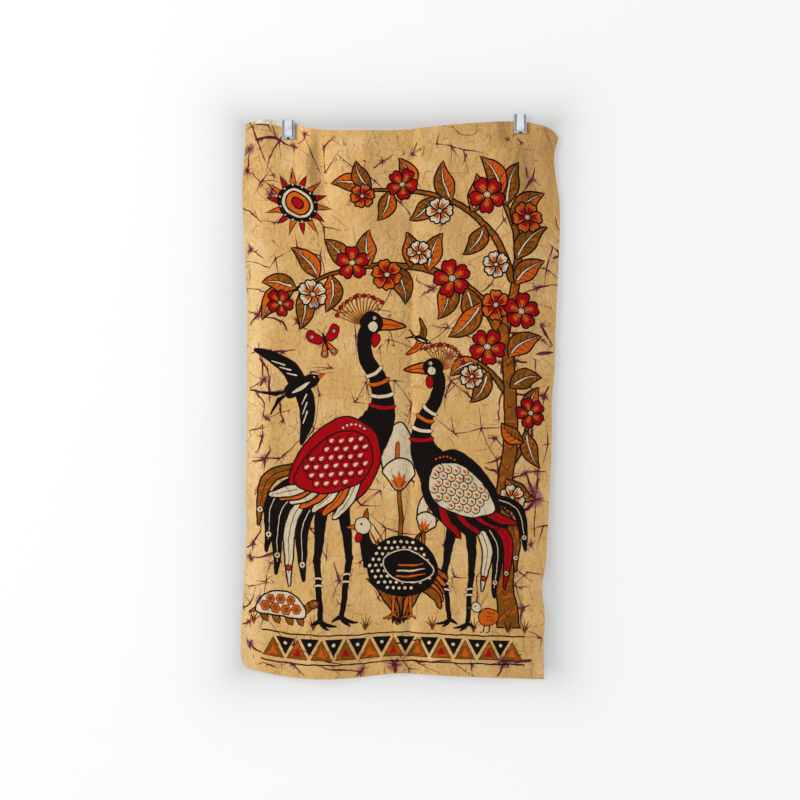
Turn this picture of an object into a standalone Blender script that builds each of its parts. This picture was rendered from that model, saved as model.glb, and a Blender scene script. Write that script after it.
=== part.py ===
"""Batik wall hanging: one length of waxed and dyed cotton, held to a wall by two steel clips.

Units are metres, +X right, +Z up, and +Y into the wall, so the picture side faces -Y.
The wall is the plane y = 0. The origin is the middle of the left clip's back face.
Tables of lengths are in millimetres and turned to metres where they are read.
"""

from __future__ import annotations

import math
from dataclasses import dataclass

import bmesh
import bpy
from mathutils import Vector

MM = 0.001
GAP = 0.0003

# Cloth sheet
CLOTH_THICK = 0.0012
CELL_ACROSS = 0.0165
CELL_DOWN = 0.0180
CELL_IN_CLIP = 0.0075
CLOTH_DROP = 0.880
DENSE_ROWS_DROP = 0.034
EDGE_PULL = 3.0

# How the sheet stands off the wall: in its middle, at the least, and where its edges turn back
BASE_STAND_OFF = 0.0085
LEAST_STAND_OFF = 0.0021
LEFT_TURN = 0.65
LEFT_TURN_WIDTH = 0.050
RIGHT_TURN = 0.60
RIGHT_TURN_WIDTH = 0.075
FOOT_TURN = 0.35
FOOT_TURN_HEIGHT = 0.090
FOOT_TURN_START = -0.800

# The slack top edge leans into the room between the clips
LEAN = 0.006
LEAN_FADE = 0.080
LEAN_FROM_LEFT_CLIP = 0.010
LEAN_GROWS_OVER = 0.060
LEAN_ENDS_AFTER = 0.090

# Steel clips
CLIP_WIDTH = 0.0200
CLIP_HEIGHT = 0.0312
PLATE_THICK = 0.0010
CLIP_SPACING = 0.3765
RIGHT_CLIP_RISE = 0.0094
LIP_WIDTH = 0.0009
LIP_RISE = 0.0027
WEB_THICK = 0.0008
PANEL_HALF_FOOT = 0.0070
PANEL_HALF_TOP = 0.0062
PANEL_RISE = 0.0031
NOSE_LENGTH = 0.0056
NOSE_RISE = 0.0012
NOTCH_HALF_WIDTH = 0.0033
NOTCH_DEPTH = 0.0027
NOTCH_TAPER = 3.0
NOTCH_CUTTER_MARGIN = 0.0010
BOSS_WIDTH = 0.0022
BOSS_HEIGHT = 0.0024
PIN_SIDES = 12
GRIP_RISE = 0.0017
CLIP_BEVEL = 0.00015
PIN_SMOOTH_ANGLE = math.radians(40)
GRIP_ZONE_MARGIN = 0.0035
GRIP_ZONE_FADE = 0.0300

# The sheet's middle plane where a clip grips it, and the clip's front face
SHEET_IN_CLIP = PLATE_THICK + GAP + CLOTH_THICK / 2
FRONT_JAW_BACK = PLATE_THICK + GAP + CLOTH_THICK + GAP

# Top edge as it hangs: x, z
TOP_EDGE = (
    (-68.9, 9.1),
    (-62.0, 13.6),
    (-52.7, 15.6),
    (-26.7, 15.6),
    (-12.0, 13.6),
    (-7.0, 11.0),
    (7.5, 11.0),
    (12.5, 10.6),
    (22.1, 5.9),
    (36.7, 1.5),
    (56.2, -1.8),
    (101.7, -3.4),
    (181.4, -2.3),
    (266.8, 5.9),
    (327.6, 10.9),
    (364.3, 13.5),
    (388.0, 11.9),
    (404.0, 8.6),
    (420.9, 3.1),
    (430.8, -3.7),
    (438.8, -13.8),
)

# Bottom edge: x, z
BOTTOM_EDGE = (
    (-73.5, -864.3),
    (-67.0, -874.4),
    (-45.3, -878.5),
    (-20.5, -884.3),
    (6.0, -888.4),
    (45.8, -891.0),
    (79.0, -891.0),
    (112.1, -889.2),
    (153.7, -884.3),
    (181.4, -882.5),
    (230.0, -884.5),
    (283.7, -887.1),
    (343.9, -889.4),
    (415.4, -892.3),
)

# Left edge: z, x
LEFT_EDGE = (
    (-864.3, -73.5),
    (-853.3, -76.9),
    (-801.3, -76.5),
    (-755.8, -73.1),
    (-698.9, -70.5),
    (-642.0, -67.3),
    (-598.2, -68.9),
    (-487.7, -67.3),
    (-276.4, -67.3),
    (-235.8, -68.9),
    (-178.9, -71.3),
    (-120.4, -73.8),
    (-81.4, -73.8),
    (-27.8, -69.7),
    (9.1, -68.9),
)

# Right edge: z, x
RIGHT_EDGE = (
    (-892.3, 415.4),
    (-828.9, 414.9),
    (-788.3, 416.5),
    (-747.7, 412.1),
    (-698.9, 418.3),
    (-658.3, 420.9),
    (-555.9, 425.9),
    (-495.8, 427.7),
    (-432.4, 428.4),
    (-382.0, 432.9),
    (-323.5, 433.7),
    (-235.8, 437.9),
    (-172.4, 440.7),
    (-118.8, 440.5),
    (-97.7, 437.3),
    (-65.2, 432.6),
    (-40.8, 431.9),
    (-13.8, 438.8),
)


@dataclass(frozen=True)
class Fold:
    """A soft ridge, or a trough where lift is negative, from head to foot, in millimetres."""

    head_x: float
    head_z: float
    foot_x: float
    foot_z: float
    half_width: float
    lift: float


FOLD_END_POWER = 0.7

FOLDS = {
    "pucker beside left clip": Fold(24, 20, 34, -150, 13, 5.0),
    "trough in the slack": Fold(51, 10, 60, -150, 12, -5.0),
    "swell of the slack": Fold(112, 40, 128, -260, 42, 8.0),
    "second swell": Fold(250, 40, 238, -230, 34, 4.5),
    "ironed crease down the middle": Fold(203, 60, 197, -960, 15, -3.2),
    "ironed crease across the middle": Fold(-120, -426, 500, -420, 12, -1.8),
    "pull from right clip": Fold(372, -14, 300, -160, 20, 3.5),
    "hollow under right clip": Fold(388, -20, 404, -170, 17, -4.0),
    "swell beside right corner": Fold(362, -24, 358, -250, 30, 3.5),
    "left side swell": Fold(-38, -250, -40, -640, 22, 3.0),
    "ripple low on left side": Fold(-90, -668, 0, -690, 13, 3.0),
    "ripple above it": Fold(-90, -600, -10, -612, 12, -2.0),
    "bottom swell": Fold(42, -700, 52, -960, 40, 6.5),
    "bottom hollow": Fold(150, -760, 160, -960, 44, -4.5),
    "bottom right swell": Fold(300, -740, 292, -960, 60, 4.0),
    "crease low on right side": Fold(382, -700, 381, -820, 10, -2.5),
    "tuck in right edge": Fold(360, -742, 480, -752, 14, -4.0),
    "right side swell": Fold(392, -150, 380, -560, 34, 3.5),
    "dip at foot of ironed crease": Fold(198, -790, 196, -985, 17, -4.0),
}


def clear_scene() -> None:
    """Removes whatever the scene holds."""
    for old in list(bpy.data.objects):
        bpy.data.objects.remove(old, do_unlink=True)


def read_curve(table: tuple, at: float) -> float:
    """Reads a smooth curve through a table's rows at a given first column, in metres.

    Args:
        table: rows of two lengths in millimetres, the first one rising.
        at: the first column's value in metres.

    Returns:
        The second column's value in metres.
    """
    at = at / MM
    last = len(table) - 1
    at = min(max(at, table[0][0]), table[last][0])
    row = next(i for i in range(last) if at <= table[i + 1][0])

    def slope(index: int) -> float:
        """Slope at a row, read between its neighbours."""
        low = table[max(index - 1, 0)]
        high = table[min(index + 1, last)]
        return (high[1] - low[1]) / (high[0] - low[0])

    (start, first), (end, second) = table[row], table[row + 1]
    span = end - start
    t = (at - start) / span
    rise = t * t * (3 - 2 * t)
    bend_in = t * (1 - t) * (1 - t) * span * slope(row)
    bend_out = -t * t * (1 - t) * span * slope(row + 1)
    return (first + (second - first) * rise + bend_in + bend_out) * MM


def ease(value: float) -> float:
    """Runs smoothly from 0 to 1 as value does."""
    value = min(max(value, 0.0), 1.0)
    return value * value * (3 - 2 * value)


def place_in_outline(across: float, up: float) -> tuple[float, float]:
    """Places a point of the flat cloth inside the outline in which the cloth hangs.

    Args:
        across: 0 at the left edge to 1 at the right edge.
        up: 0 at the bottom edge to 1 at the top edge.

    Returns:
        The point's x and z.
    """
    top_left = Vector((TOP_EDGE[0][0], TOP_EDGE[0][1])) * MM
    top_right = Vector((TOP_EDGE[-1][0], TOP_EDGE[-1][1])) * MM
    low_left = Vector((BOTTOM_EDGE[0][0], BOTTOM_EDGE[0][1])) * MM
    low_right = Vector((BOTTOM_EDGE[-1][0], BOTTOM_EDGE[-1][1])) * MM
    top = top_left.lerp(top_right, across)
    low = low_left.lerp(low_right, across)
    left = low_left.lerp(top_left, up)
    right = low_right.lerp(top_right, up)
    point = low.lerp(top, up)
    point.y += (read_curve(TOP_EDGE, top.x) - top.y) * up**EDGE_PULL
    point.y += (read_curve(BOTTOM_EDGE, low.x) - low.y) * (1 - up) ** EDGE_PULL
    point.x += (read_curve(LEFT_EDGE, left.y) - left.x) * (1 - across) ** EDGE_PULL
    point.x += (read_curve(RIGHT_EDGE, right.y) - right.x) * across**EDGE_PULL
    return point.x, point.y


def fold_lift(fold: Fold, x: float, z: float) -> float:
    """Height that one fold adds at a point, in metres."""
    head = Vector((fold.head_x, fold.head_z)) * MM
    foot = Vector((fold.foot_x, fold.foot_z)) * MM
    run = foot - head
    length = run.length
    offset = Vector((x, z)) - head
    along = offset.dot(run) / (length * length)
    aside = (offset.x * run.y - offset.y * run.x) / length
    if not 0.0 < along < 1.0:
        return 0.0
    ends = math.sin(math.pi * along) ** FOLD_END_POWER
    side = math.exp(-((aside / (fold.half_width * MM)) ** 2))
    return fold.lift * MM * ends * side


def clip_centres() -> dict[str, tuple[float, float]]:
    """Middle of each clip: x and z."""
    return {"left": (0.0, 0.0), "right": (CLIP_SPACING, RIGHT_CLIP_RISE)}


def grip_share(x: float, z: float) -> float:
    """1 where a clip presses the sheet flat, fading to 0 away from it."""
    share = 0.0
    for centre_x, centre_z in clip_centres().values():
        past_side = abs(x - centre_x) - CLIP_WIDTH / 2 - GRIP_ZONE_MARGIN
        past_foot = centre_z - CLIP_HEIGHT / 2 - GRIP_ZONE_MARGIN - z
        away = math.hypot(max(past_side, 0.0), max(past_foot, 0.0))
        share = max(share, 1.0 - ease(away / GRIP_ZONE_FADE))
    return share


def stand_off(x: float, z: float) -> float:
    """How far the middle of the sheet stands from the wall at a point.

    Args:
        x: place across.
        z: place up.

    Returns:
        The distance from the wall plane, which is a fixed one where a clip grips the sheet.
    """
    left = read_curve(LEFT_EDGE, z)
    right = read_curve(RIGHT_EDGE, z)
    turn_left = 1.0 - LEFT_TURN * (1.0 - ease((x - left) / LEFT_TURN_WIDTH))
    turn_right = 1.0 - RIGHT_TURN * (1.0 - ease((right - x) / RIGHT_TURN_WIDTH))
    turn_foot = 1.0 - FOOT_TURN * ease((FOOT_TURN_START - z) / FOOT_TURN_HEIGHT)
    from_left = ease((x - LEAN_FROM_LEFT_CLIP) / LEAN_GROWS_OVER)
    from_right = ease((CLIP_SPACING - x) / LEAN_ENDS_AFTER)
    lean = LEAN * math.exp(z / LEAN_FADE) * from_left * from_right
    height = BASE_STAND_OFF * turn_left * turn_right * turn_foot + lean
    height += sum(fold_lift(fold, x, z) for fold in FOLDS.values())
    height = max(height, LEAST_STAND_OFF)
    grip = grip_share(x, z)
    return height * (1.0 - grip) + SHEET_IN_CLIP * grip


def steps(marks: list[tuple[float, float]]) -> list[float]:
    """Divides a length at its marks, each stretch into equal cells of about a wanted size.

    Args:
        marks: rows of a place in metres and the wanted cell size from there on.

    Returns:
        The places of all grid lines, in metres.
    """
    places = [marks[0][0]]
    for (start, cell), (end, _) in zip(marks, marks[1:]):
        count = max(1, round(abs(end - start) / cell))
        places.extend(start + (end - start) * k / count for k in range(1, count + 1))
    return places


def grid_across() -> list[float]:
    """Grid columns from left to right, as parts of the width, with lines at the clips' sides."""
    left = TOP_EDGE[0][0] * MM
    right = TOP_EDGE[-1][0] * MM
    half = CLIP_WIDTH / 2 + GRIP_ZONE_MARGIN
    places = steps(
        [
            (left, CELL_ACROSS),
            (-half, CELL_IN_CLIP),
            (half, CELL_ACROSS),
            (CLIP_SPACING - half, CELL_IN_CLIP),
            (CLIP_SPACING + half, CELL_ACROSS),
            (right, CELL_ACROSS),
        ]
    )
    return [(place - left) / (right - left) for place in places]


def grid_up() -> list[float]:
    """Grid rows from top to bottom, as parts of the height, closer together in the clips."""
    places = steps([(0.0, CELL_IN_CLIP), (DENSE_ROWS_DROP, CELL_DOWN), (CLOTH_DROP, CELL_DOWN)])
    return [1.0 - place / CLOTH_DROP for place in places]


def make_material(name: str, colour: tuple, roughness: float, metallic: float = 0.0):
    """Makes a plain Principled material.

    Args:
        name: the material's name.
        colour: linear red, green and blue.
        roughness: surface roughness.
        metallic: 1 for bare metal.

    Returns:
        The material.
    """
    material = bpy.data.materials.new(name)
    material.use_nodes = True
    shader = material.node_tree.nodes["Principled BSDF"]
    shader.inputs["Base Color"].default_value = (*colour, 1.0)
    shader.inputs["Roughness"].default_value = roughness
    shader.inputs["Metallic"].default_value = metallic
    return material


def add_object(name: str, mesh, material):
    """Links a mesh to the scene as a named object with one material."""
    mesh.materials.append(material)
    added = bpy.data.objects.new(name, mesh)
    bpy.context.scene.collection.objects.link(added)
    return added


def mesh_from_bmesh(name: str, shape) -> bpy.types.Mesh:
    """Turns a bmesh into a mesh with its faces pointing out, and frees it."""
    bmesh.ops.recalc_face_normals(shape, faces=shape.faces)
    mesh = bpy.data.meshes.new(name)
    shape.to_mesh(mesh)
    shape.free()
    return mesh


def make_cloth(material):
    """Builds the sheet: a grid laid in the hung outline, standing off the wall by its folds."""
    columns = grid_across()
    rows = grid_up()
    shape = bmesh.new()
    lattice = []
    for up in rows:
        line = []
        for across in columns:
            x, z = place_in_outline(across, up)
            line.append(shape.verts.new((x, -stand_off(x, z), z)))
        lattice.append(line)
    for upper, lower in zip(lattice, lattice[1:]):
        for k in range(len(columns) - 1):
            shape.faces.new((upper[k], lower[k], lower[k + 1], upper[k + 1]))
    mesh = bpy.data.meshes.new("cloth")
    shape.to_mesh(mesh)
    shape.free()
    mesh.shade_smooth()
    cloth = add_object("cloth", mesh, material)
    solid = cloth.modifiers.new("thickness", "SOLIDIFY")
    solid.thickness = CLOTH_THICK
    solid.offset = 0.0
    solid.use_even_offset = True
    return cloth


def extrude_outline(name: str, points: list[tuple], direction: tuple) -> bpy.types.Mesh:
    """Extrudes a closed flat outline into a solid.

    Args:
        name: the mesh's name.
        points: the outline's corners.
        direction: how far and which way it is extruded.

    Returns:
        The closed mesh.
    """
    shape = bmesh.new()
    face = shape.faces.new([shape.verts.new(point) for point in points])
    grown = bmesh.ops.extrude_face_region(shape, geom=[face])["geom"]
    moved = [part for part in grown if isinstance(part, bmesh.types.BMVert)]
    bmesh.ops.translate(shape, verts=moved, vec=direction)
    return mesh_from_bmesh(name, shape)


def soften(piece) -> None:
    """Rounds a stamped piece's edges slightly."""
    bevel = piece.modifiers.new("rounded edges", "BEVEL")
    bevel.width = CLIP_BEVEL
    bevel.segments = 1
    bevel.limit_method = "ANGLE"


def make_back_jaw(side: str, steel):
    """Flat plate against the wall, with a boss at each top corner that carries the pin.

    It is one outline seen from above, in two stretches: a plain plate and, over the top
    few millimetres, the same plate with the two bosses raised from it.
    """
    half = CLIP_WIDTH / 2
    top = CLIP_HEIGHT / 2
    shelf = top - BOSS_HEIGHT
    boss_face = -(PLATE_THICK + CLOTH_THICK + GAP)
    inner = half - BOSS_WIDTH
    shape = bmesh.new()
    plan = [
        (-half, 0.0),
        (-half, -PLATE_THICK),
        (-inner, -PLATE_THICK),
        (inner, -PLATE_THICK),
        (half, -PLATE_THICK),
        (half, 0.0),
    ]
    foot = [shape.verts.new((x, y, -top)) for x, y in plan]
    ledge = [shape.verts.new((x, y, shelf)) for x, y in plan]
    head = [shape.verts.new((x, y, top)) for x, y in plan]
    shape.faces.new(foot)
    shape.faces.new(head)
    count = len(plan)
    for lower, upper in ((foot, ledge), (ledge, head)):
        for k in range(count):
            following = (k + 1) % count
            shape.faces.new((lower[k], lower[following], upper[following], upper[k]))
    shape.faces.ensure_lookup_table()
    for first, second in ((1, 2), (3, 4)):
        corners = {ledge[first], ledge[second], head[first], head[second]}
        front = next(face for face in shape.faces if set(face.verts) == corners)
        boss = bmesh.ops.extrude_discrete_faces(shape, faces=[front])["faces"][0]
        bmesh.ops.translate(shape, verts=boss.verts, vec=(0.0, boss_face + PLATE_THICK, 0.0))
    return add_object(f"{side}_clip_back_jaw", mesh_from_bmesh("back jaw", shape), steel)


def jaw_section(panel_rise: float) -> list[tuple[float, float]]:
    """Front jaw seen from above: side lips, grooves and a raised middle panel.

    Args:
        panel_rise: how far the middle panel stands out from the jaw's back.

    Returns:
        Corners as x and depth towards the room, from the jaw's back.
    """
    half = CLIP_WIDTH / 2
    right_half = [
        (PANEL_HALF_TOP, panel_rise),
        (PANEL_HALF_FOOT, WEB_THICK),
        (half - LIP_WIDTH, WEB_THICK),
        (half - LIP_WIDTH, LIP_RISE),
        (half, LIP_RISE),
        (half, 0.0),
    ]
    left_half = [(-x, depth) for x, depth in reversed(right_half)]
    return left_half + right_half


def make_front_jaw(side: str, steel):
    """Stamped channel in front of the cloth, its panel ending in a sloped nose with a notch."""
    top = CLIP_HEIGHT / 2
    stations = ((top, PANEL_RISE), (-top + NOSE_LENGTH, PANEL_RISE), (-top, NOSE_RISE))
    shape = bmesh.new()
    rings = []
    for z, rise in stations:
        points = [(x, -FRONT_JAW_BACK - depth, z) for x, depth in jaw_section(rise)]
        rings.append([shape.verts.new(point) for point in points])
    for upper, lower in zip(rings, rings[1:]):
        count = len(upper)
        for k in range(count):
            following = (k + 1) % count
            shape.faces.new((upper[k], lower[k], lower[following], upper[following]))
    shape.faces.new(rings[0])
    shape.faces.new(rings[-1])
    jaw = add_object(f"{side}_clip_front_jaw", mesh_from_bmesh("front jaw", shape), steel)
    notch = notch_outline(NOTCH_HALF_WIDTH, NOTCH_DEPTH, -FRONT_JAW_BACK + NOTCH_CUTTER_MARGIN)
    cut_through = -(PANEL_RISE + 2 * NOTCH_CUTTER_MARGIN)
    cutter_mesh = extrude_outline("notch", notch, (0.0, cut_through, 0.0))
    cutter = add_object(f"{side}_notch_cutter", cutter_mesh, steel)
    cutter.hide_render = True
    cutter.display_type = "WIRE"
    cut = jaw.modifiers.new("notch", "BOOLEAN")
    cut.object = cutter
    cut.operation = "DIFFERENCE"
    return jaw, cutter


def notch_outline(half_width: float, depth: float, y: float) -> list[tuple]:
    """Wedge cut up into the jaw's bottom edge: corners at one depth y."""
    foot = -CLIP_HEIGHT / 2
    below = foot - NOTCH_CUTTER_MARGIN
    crown = half_width / NOTCH_TAPER
    return [
        (-half_width, y, below),
        (half_width, y, below),
        (half_width, y, foot),
        (crown, y, foot + depth),
        (-crown, y, foot + depth),
        (-half_width, y, foot),
    ]


def make_pin(side: str, steel):
    """Round pin between the bosses, on which the front jaw rocks."""
    radius = CLOTH_THICK / 2
    length = CLIP_WIDTH - 2 * BOSS_WIDTH - 2 * GAP
    height = CLIP_HEIGHT / 2 - BOSS_HEIGHT / 2
    ring = []
    for k in range(PIN_SIDES):
        turn = 2 * math.pi * (k + 0.5) / PIN_SIDES
        y = -SHEET_IN_CLIP + radius * math.cos(turn)
        ring.append((-length / 2, y, height + radius * math.sin(turn)))
    mesh = extrude_outline("pin", ring, (length, 0.0, 0.0))
    mesh.shade_smooth()
    mesh.set_sharp_from_angle(angle=PIN_SMOOTH_ANGLE)
    return add_object(f"{side}_clip_pin", mesh, steel)


def make_grip(side: str, rubber):
    """Dark gripping pad that shows in the front jaw's notch, against the cloth."""
    foot = -CLIP_HEIGHT / 2
    half = NOTCH_HALF_WIDTH - 2 * GAP
    crown = half / NOTCH_TAPER
    top = foot + NOTCH_DEPTH - 2 * GAP
    y = -FRONT_JAW_BACK
    outline = [(-half, y, foot), (half, y, foot), (crown, y, top), (-crown, y, top)]
    mesh = extrude_outline("grip", outline, (0.0, -GRIP_RISE, 0.0))
    return add_object(f"{side}_clip_grip", mesh, rubber)


def make_clip(side: str, centre: tuple[float, float], steel, rubber) -> None:
    """Builds one clip's four pieces and hangs them from an empty at the clip's middle."""
    holder = bpy.data.objects.new(f"{side}_clip_middle", None)
    bpy.context.scene.collection.objects.link(holder)
    jaw, cutter = make_front_jaw(side, steel)
    soften(jaw)
    pieces = [jaw, cutter, make_back_jaw(side, steel), make_pin(side, steel)]
    pieces.append(make_grip(side, rubber))
    for piece in pieces:
        piece.parent = holder
    holder.location = (centre[0], 0.0, centre[1])


def main() -> None:
    """Builds the cloth and both clips."""
    clear_scene()
    cotton = make_material("dyed cotton", (0.604, 0.420, 0.191), 0.9)
    steel = make_material("zinc plated steel", (0.62, 0.66, 0.70), 0.3, 1.0)
    rubber = make_material("black rubber", (0.02, 0.025, 0.03), 0.7)
    make_cloth(cotton)
    for side, centre in clip_centres().items():
        make_clip(side, centre, steel, rubber)


main()
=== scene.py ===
import logging
import math
from dataclasses import dataclass, field
from enum import Enum

import bpy
import numpy as np
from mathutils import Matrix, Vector, kdtree
from mathutils.geometry import delaunay_2d_cdt


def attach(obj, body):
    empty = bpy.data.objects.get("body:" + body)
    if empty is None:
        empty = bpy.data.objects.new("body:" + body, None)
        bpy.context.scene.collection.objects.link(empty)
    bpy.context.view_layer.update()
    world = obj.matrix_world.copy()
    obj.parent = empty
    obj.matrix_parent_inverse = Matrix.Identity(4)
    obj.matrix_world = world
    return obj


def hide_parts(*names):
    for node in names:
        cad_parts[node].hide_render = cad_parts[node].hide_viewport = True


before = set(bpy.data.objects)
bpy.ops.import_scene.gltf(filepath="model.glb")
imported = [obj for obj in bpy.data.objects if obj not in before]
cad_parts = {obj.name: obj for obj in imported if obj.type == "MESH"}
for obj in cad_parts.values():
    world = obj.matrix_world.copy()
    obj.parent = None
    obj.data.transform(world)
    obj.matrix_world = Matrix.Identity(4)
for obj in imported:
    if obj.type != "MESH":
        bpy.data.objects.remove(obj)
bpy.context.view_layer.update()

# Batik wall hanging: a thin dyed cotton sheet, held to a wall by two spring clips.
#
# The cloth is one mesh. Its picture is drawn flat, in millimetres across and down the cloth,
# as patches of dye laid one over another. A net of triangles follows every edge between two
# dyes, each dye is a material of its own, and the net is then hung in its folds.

log = logging.getLogger("batik")

MM = 0.001

# Drawing kit

CANVAS_W = 508.0
CANVAS_H = 882.0
STEP_MM = 3.7
LINE_MM = 2.7


class Dye(Enum):
    """The dyes, in the order in which the cloth's material slots hold them."""

    OCHRE = 0
    CRACKLE = 1
    LINE = 2
    BLACK = 3
    RED = 4
    ORANGE = 5
    BROWN = 6
    CREAM = 7
    BARE = 8


def smooth(points, closed: bool = False, step: float = STEP_MM) -> np.ndarray:
    """Runs a smooth curve through points, sampled at an even step.

    Args:
        points: corners across and down the cloth, in millimetres.
        closed: whether the curve returns to its first point.
        step: the longest stretch between two samples.

    Returns:
        The samples, one row each.
    """
    p = np.asarray(points, dtype=float)
    if closed:
        p = np.vstack([p[-1], p, p[0], p[1]])
    else:
        p = np.vstack([2 * p[0] - p[1], p, 2 * p[-1] - p[-2]])
    out = []
    for a, b, c, d in zip(p, p[1:], p[2:], p[3:]):
        first, mid, last = (max(np.linalg.norm(v), 1e-6) for v in (b - a, c - b, d - c))
        pull_b = mid * ((c - b) / mid * first + (b - a) / first * mid) / (first + mid)
        pull_c = mid * ((d - c) / last * mid + (c - b) / mid * last) / (mid + last)
        count = max(2, math.ceil(mid / step))
        t = np.arange(count)[:, None] / count
        rise = t * t * (3 - 2 * t)
        bend = t * (1 - t) * ((1 - t) * pull_b - t * pull_c)
        out.append(b + (c - b) * rise + bend)
    if not closed:
        out.append(p[-2:-1])
    return np.vstack(out)


def hand(points: np.ndarray) -> np.ndarray:
    """Shifts points by the small unevenness of a hand that draws with hot wax."""
    x, y = points[:, 0], points[:, 1]
    shift_x = 0.50 * np.sin(0.125 * y + 0.043 * x) + 0.28 * np.sin(0.31 * y - 0.19 * x + 1.0)
    shift_y = 0.50 * np.sin(0.117 * x - 0.051 * y + 2.0) + 0.28 * np.sin(0.27 * x + 0.23 * y)
    return points + np.column_stack([shift_x, shift_y])


def sideways(path: np.ndarray, closed: bool = False) -> np.ndarray:
    """Unit vectors square to a path, to the left as it runs with down the page as up."""
    if closed:
        run = np.roll(path, -1, axis=0) - np.roll(path, 1, axis=0)
    else:
        run = np.gradient(path, axis=0)
    run /= np.maximum(np.linalg.norm(run, axis=1, keepdims=True), 1e-9)
    return np.column_stack([run[:, 1], -run[:, 0]])


def grow(ring: np.ndarray, by: float) -> np.ndarray:
    """Moves a closed ring outwards, or inwards where by is negative."""
    x, y = ring[:, 0], ring[:, 1]
    area = np.sum(x * np.roll(y, -1) - np.roll(x, -1) * y)
    return ring + sideways(ring, closed=True) * by * (1 if area > 0 else -1)


def ribbon(path: np.ndarray, widths) -> np.ndarray:
    """Closed outline of a stroke whose width runs evenly through the widths given."""
    along = np.linspace(0, 1, len(path))
    half = np.interp(along, np.linspace(0, 1, len(widths)), widths)[:, None] / 2
    side = sideways(path)
    head = path[-1] + (path[-1] - path[-2]) / np.linalg.norm(path[-1] - path[-2]) * half[-1]
    tail = path[0] + (path[0] - path[1]) / np.linalg.norm(path[0] - path[1]) * half[0]
    return np.vstack([tail, path + side * half, head, (path - side * half)[::-1]])


def ring_of(centre, radius_x: float, radius_y: float, turn: float = 0.0, count: int = 0) -> np.ndarray:
    """Closed oval, with as many points as its size needs unless a count is given."""
    count = count or int(np.clip(2 * math.pi * max(radius_x, radius_y) / STEP_MM, 9, 60))
    angle = np.linspace(0, 2 * math.pi, count, endpoint=False)
    x, y = radius_x * np.cos(angle), radius_y * np.sin(angle)
    c, s = math.cos(turn), math.sin(turn)
    return np.column_stack([centre[0] + x * c - y * s, centre[1] + x * s + y * c])


def placed(points, origin, angle: float, scale: float = 1.0, flip: bool = False) -> np.ndarray:
    """Turns points given along and beside a direction into points on the cloth."""
    p = np.asarray(points, dtype=float) * scale
    if flip:
        p = p * (1, -1)
    c, s = math.cos(angle), math.sin(angle)
    return np.column_stack([origin[0] + p[:, 0] * c - p[:, 1] * s, origin[1] + p[:, 0] * s + p[:, 1] * c])


@dataclass(frozen=True)
class Patch:
    """One area of dye inside a closed ring, laid over what was drawn before it."""

    ring: np.ndarray
    dye: Dye


@dataclass
class Drawing:
    """The picture on the cloth, as patches of dye in the order in which they are laid."""

    patches: list = field(default_factory=list)

    def fill(self, ring: np.ndarray, dye: Dye) -> None:
        """Adds an area without a line round it."""
        self.patches.append(Patch(hand(ring), dye))

    def area(self, ring: np.ndarray, dye: Dye, line: float = LINE_MM) -> None:
        """Adds an area with a dark line round it."""
        ring = hand(ring)
        self.patches.append(Patch(grow(ring, line / 2), Dye.LINE))
        self.patches.append(Patch(grow(ring, -line / 2), dye))

    def stroke(self, path, widths, dye: Dye = Dye.LINE) -> None:
        """Adds a stroke of changing width."""
        self.patches.append(Patch(ribbon(hand(np.asarray(path, float)), widths), dye))

    def lined_stroke(self, path, widths, dye: Dye, line: float = LINE_MM) -> None:
        """Adds a stroke with a dark line along both of its sides."""
        widths = np.asarray(widths, float)
        self.stroke(path, widths + line, Dye.LINE)
        self.stroke(path, np.maximum(widths - line, 0.3), dye)

    def dot(self, centre, radius: float, dye: Dye, line: float = 0.0) -> None:
        """Adds a dab of dye, round but for the hand's unevenness."""
        ring = ring_of(centre, radius, radius * 0.94)
        if line:
            self.area(ring, dye, line)
        else:
            self.fill(ring, dye)


# Motifs


def bowed(base, tip, bend: float, count: int = 14) -> np.ndarray:
    """Line from base to tip that bows sideways by a share of its length."""
    base, tip = np.asarray(base, float), np.asarray(tip, float)
    t = np.linspace(0, 1, count)[:, None]
    run = tip - base
    side = np.array([run[1], -run[0]])
    return base + run * t + side * bend * 4 * t * (1 - t)


@dataclass(frozen=True)
class Leaf:
    """A pointed leaf with veins and a waxed rib, in one dye or with its two halves in two."""

    base: tuple
    tip: tuple
    half_width: float
    bend: float = 0.12
    dye: Dye = Dye.BROWN
    far_dye: Dye | None = None
    veins: int = 5

    def draw(self, drawing: Drawing) -> None:
        """Adds the leaf to a drawing."""
        length = math.dist(self.base, self.tip)
        rib = bowed(self.base, self.tip, self.bend, max(10, int(length / 4)))
        t = np.linspace(0, 1, len(rib))
        side = sideways(rib)
        spread = self.half_width * np.sin(math.pi * t**0.85)[:, None] ** 1.1
        near, far = rib + side * spread, rib - side * spread
        drawing.area(np.vstack([near, far[-2:0:-1]]), self.dye)
        if self.far_dye:
            inner = rib - side * np.maximum(spread - LINE_MM / 2, 0.2)
            drawing.fill(np.vstack([rib, inner[-2:0:-1]]), self.far_dye)
        for k in range(self.veins):
            root = (k + 0.9) / (self.veins + 1.6)
            end = min(root + 0.17, 0.97)
            start = along(rib, root)
            for edge in (near, far):
                stop = along(edge, end)
                drawing.stroke(bowed(start, start + (stop - start) * 0.82, 0.06, 4), (1.4, 0.5))
        if self.half_width > 13:
            drawing.lined_stroke(rib[2 : -max(2, len(rib) // 7)], (4.4, 3.6, 2.0), Dye.CREAM, 1.4)
        else:
            drawing.stroke(rib[: -max(2, len(rib) // 10)], (2.6, 1.4, 0.8))


def along(path: np.ndarray, share: float) -> np.ndarray:
    """Point at a share of a path's samples."""
    t = np.linspace(0, 1, len(path))
    return np.array([np.interp(share, t, path[:, 0]), np.interp(share, t, path[:, 1])])


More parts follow.
